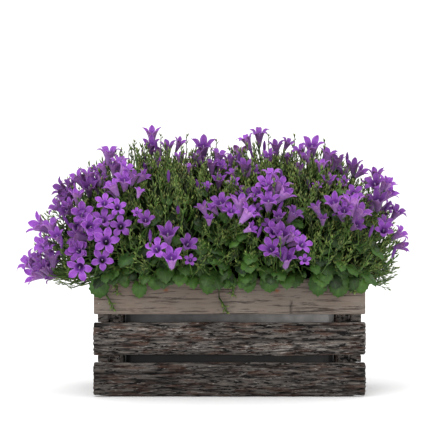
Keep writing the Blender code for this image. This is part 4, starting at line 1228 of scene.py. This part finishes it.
def roughened(node, outward, relief, material, name, cell=FINE_CELL):
    """A CAD solid's own form in an even mesh, moved in and out by its surface's relief."""
    form = bmesh.new()
    form.from_mesh(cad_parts[node].data)
    bmesh.ops.remove_doubles(form, verts=form.verts, dist=0.001 * MM)
    helper = linked(name + "_helper", mesh_of(name, form))
    even = helper.modifiers.new("even", "REMESH")
    even.mode = "VOXEL"
    even.voxel_size = cell
    graph = bpy.context.evaluated_depsgraph_get()
    mesh = bpy.data.meshes.new_from_object(helper.evaluated_get(graph))
    bpy.data.objects.remove(helper)
    mesh.name = name
    seed = sum(map(ord, node)) % 97
    upright = outward.z < 0.5
    across = UP.cross(outward) if upright else Vector((1, 0, 0))
    upward = UP if upright else Vector((0, 1, 0))
    places, runs, crevice_shades, pales = [], [], [], []
    for vertex in mesh.vertices:
        point = vertex.co / MM
        run = point.dot(across)
        height = point.dot(upward)
        out, crevice_shade = relief(node, run, height, seed)
        weight = max(0, min(1, vertex.normal.dot(outward) + 0.35))
        places.append(vertex.co + vertex.normal * (out * weight * MM))
        runs += [run * MM, height * MM, point.dot(outward) * MM]
        crevice_shades.append(crevice_shade * weight)
        pales.append(paleness(node, run, height))
    for vertex, place in zip(mesh.vertices, places):
        vertex.co = place
    mesh.attributes.new("run", "FLOAT_VECTOR", "POINT").data.foreach_set("vector", runs)
    for name_read, values in zip(BOARD_VALUES, (crevice_shades, pales)):
        mesh.attributes.new(name_read, "FLOAT", "POINT").data.foreach_set("value", values)
    mesh.materials.clear()
    mesh.materials.append(material)
    mesh.shade_smooth()
    show(name, mesh, [node])


def build_crate(finishes):
    """The boards, posts, liner and soil where the CAD solids are, and what only this script has."""
    for wall, outward in WALLS.items():
        for row in ("low", "middle"):
            node = f"crate_{wall}_{row}"
            roughened(node, outward, bark_relief, finishes["bark"], node + "_bark")
        node = f"crate_{wall}_top"
        roughened(node, outward, sawn_relief, finishes["sawn"], node + "_plank")
    for across in ("left", "right"):
        for along in ("front", "back"):
            node = f"crate_post_{across}_{along}"
            outward = (WALLS[across] + WALLS[along]).normalized()
            roughened(node, outward, bark_relief, finishes["bark"], node + "_bark")
    for row in ("front", "middle", "back"):
        node = "crate_floor_" + row
        roughened(node, UP, sawn_relief, finishes["sawn"], node + "_plank", HIDDEN_CELL)
    roughened("soil", UP, soil_relief, finishes["soil"], "soil_crumbs", HIDDEN_CELL)
    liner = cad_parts["liner"]
    liner.data.materials.clear()
    liner.data.materials.append(finishes["liner"])
    build_offcuts(finishes["bark"])
    build_nails(finishes["nail"])


def build_offcuts(material):
    """Bits of slab between the side boards at the corners, which hold them apart."""
    low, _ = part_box("crate_left_low")
    for side, x in (("left", low.x + OFFCUT_INSET), ("right", -low.x - OFFCUT_INSET)):
        for along, y in (("front", -OFFCUT_DEPTH), ("back", OFFCUT_DEPTH)):
            form = bmesh.new()
            for bottom, top in SIDE_GAPS:
                cube = bmesh.ops.create_cube(form, size=1)["verts"]
                bmesh.ops.scale(form, vec=(OFFCUT_SIDE, OFFCUT_SIDE, top - bottom), verts=cube)
                bmesh.ops.translate(form, vec=(x, y, (top + bottom) / 2), verts=cube)
            bmesh.ops.bevel(form, geom=list(form.edges), affect="EDGES", offset=OFFCUT_EDGE, segments=2,
                            profile=0.5, material=-1)
            for name in BOARD_VALUES:
                form.verts.layers.float.new(name)
            runs = form.verts.layers.float_vector.new("run")
            for vertex in form.verts:
                vertex[runs] = (vertex.co.x, vertex.co.z, vertex.co.y)
            piece(f"crate_offcuts_{side}_{along}", form, [material])


def build_nails(material):
    """Flat nail heads near the ends of the front's sawn board."""
    form = bmesh.new()
    low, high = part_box("crate_front_top")
    for x, height in ((low.x + 4 * MM, 9 * MM), (high.x - 3 * MM, 7.8 * MM)):
        head = bmesh.ops.create_cone(form, segments=12, radius1=NAIL_RADIUS, radius2=NAIL_FACE,
                                     depth=NAIL_DEPTH, cap_ends=True)["verts"]
        turn = Matrix.Translation((x, low.y, low.z + height)) @ Matrix.Rotation(math.pi / 2, 4, "X")
        bmesh.ops.transform(form, matrix=turn, verts=head)
    piece("nail_heads", form, [material])


# The stage

FLOOR_HALF = 30
ROOM_LIGHT = 1.3
LAMP_PLACE = (-0.45, -1.2, 1.2)
LAMP_SIZE = (0.9, 0.7)
LAMP_POWER = 9


def build_stage():
    """A white floor, even soft light all round, and one broad lamp from the front left."""
    form = bmesh.new()
    bmesh.ops.create_grid(form, x_segments=1, y_segments=1, size=FLOOR_HALF)
    floor = linked("floor", mesh_of("floor", form))
    floor.data.materials.append(
        grainy_finish("white paper, matt", 300, 2, ((0, "#FCFCFC"), (1, "#FFFFFF")), Roughness=1))
    world = bpy.data.worlds.new("white room")
    world.use_nodes = True
    world.node_tree.nodes["Background"].inputs["Color"].default_value = (1, 1, 1, 1)
    world.node_tree.nodes["Background"].inputs["Strength"].default_value = ROOM_LIGHT
    bpy.context.scene.world = world
    lamp = bpy.data.lights.new("soft box", "AREA")
    lamp.shape = "RECTANGLE"
    lamp.size, lamp.size_y = LAMP_SIZE
    lamp.energy = LAMP_POWER
    placed = linked("soft box", lamp)
    placed.location = LAMP_PLACE
    placed.rotation_euler = (VIEW_MIDDLE - placed.location).to_track_quat("-Z", "Y").to_euler()


def build_camera():
    """The photograph's view: a long lens, a little above the rim."""
    lens = bpy.data.cameras.new("camera")
    lens.lens = lens.sensor_width * VIEW_DISTANCE / (IMAGE_SIDE * MM_PER_PIXEL * MM)
    lens.clip_start = 0.05
    lens.clip_end = 100
    placed = linked("camera", lens)
    back = Vector((0, -math.cos(VIEW_ELEVATION), math.sin(VIEW_ELEVATION)))
    placed.location = VIEW_MIDDLE + back * VIEW_DISTANCE
    placed.rotation_euler = (-back).to_track_quat("-Z", "Y").to_euler()
    bpy.context.scene.camera = placed


def build():
    """The finishes and templates, every piece made from them, and the stage."""
    finishes = {
        "petal face": petal_finish("violet petal, satin inside", "#985AC0", "#9A58BC", "#8238A6", "#501B76"),
        "petal back": petal_finish("violet petal, paler outside", "#B08CBE", "#A978B9", "#A463B4", "#69348C"),
        "leaf": leaf_finish(),
        "shoot": shoot_finish(),
        "bark": bark_finish(),
        "sawn": sawn_finish(),
        "liner": liner_finish(),
        # The shaded inside of a plant, where stems and old leaves are packed: almost black green, painted
        # shade
        "heart": grainy_finish("packed stems, in shade", 4.5, 4, ((0.35, "#060B05"), (0.7, "#17240F")),
                               Roughness=0.9, Specular_IOR_Level=0.05),
        # Matt and near black, with paler bits of fibre
        "soil": grainy_finish("peat potting soil, loose", 2, 5,
                              ((0.35, "#120D0A"), (0.6, "#4A392B"), (0.78, "#2C2019")),
                              0.8 * MM, Roughness=0.95),
        # Dulled outdoors: grey and half matt
        "nail": grainy_finish("zinc-plated steel, dulled", 1.1, 3, ((0.35, "#6E6C68"), (0.7, "#98958F")),
                              Roughness=0.45, Metallic=1),
    }
    shapes = {
        "stars": [bloom_shape(STAR_TUBE, STAR_LOBES, *star) for star in STARS],
        "bells": [bloom_shape(BELL_TUBE, BELL_LOBES, *bell) for bell in BELLS],
        "calyx": calyx_shape(),
        "bud": bud_shape(),
        "leaves": [leaf_shape(*leaf) for leaf in LEAVES],
        "sprigs": [sprig_shape(*sprig) for sprig in SPRIGS],
    }
    build_crate(finishes)
    cores = {side: build_plant(side, shapes, finishes) for side in PLANTS}
    for side in PLANTS:
        build_sprigs(side, cores[side], shapes, finishes)
        for node in sorted(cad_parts):
            if node.startswith(f"spray_{side}_"):
                name = node.removeprefix(f"spray_{side}_")
                turned = name.startswith("rear_")
                build_spray(node, side, name.removeprefix("rear_"), turned, cores, shapes, finishes)
    build_stage()
    build_camera()


build()
bpy.context.scene.view_settings.view_transform = "Standard"
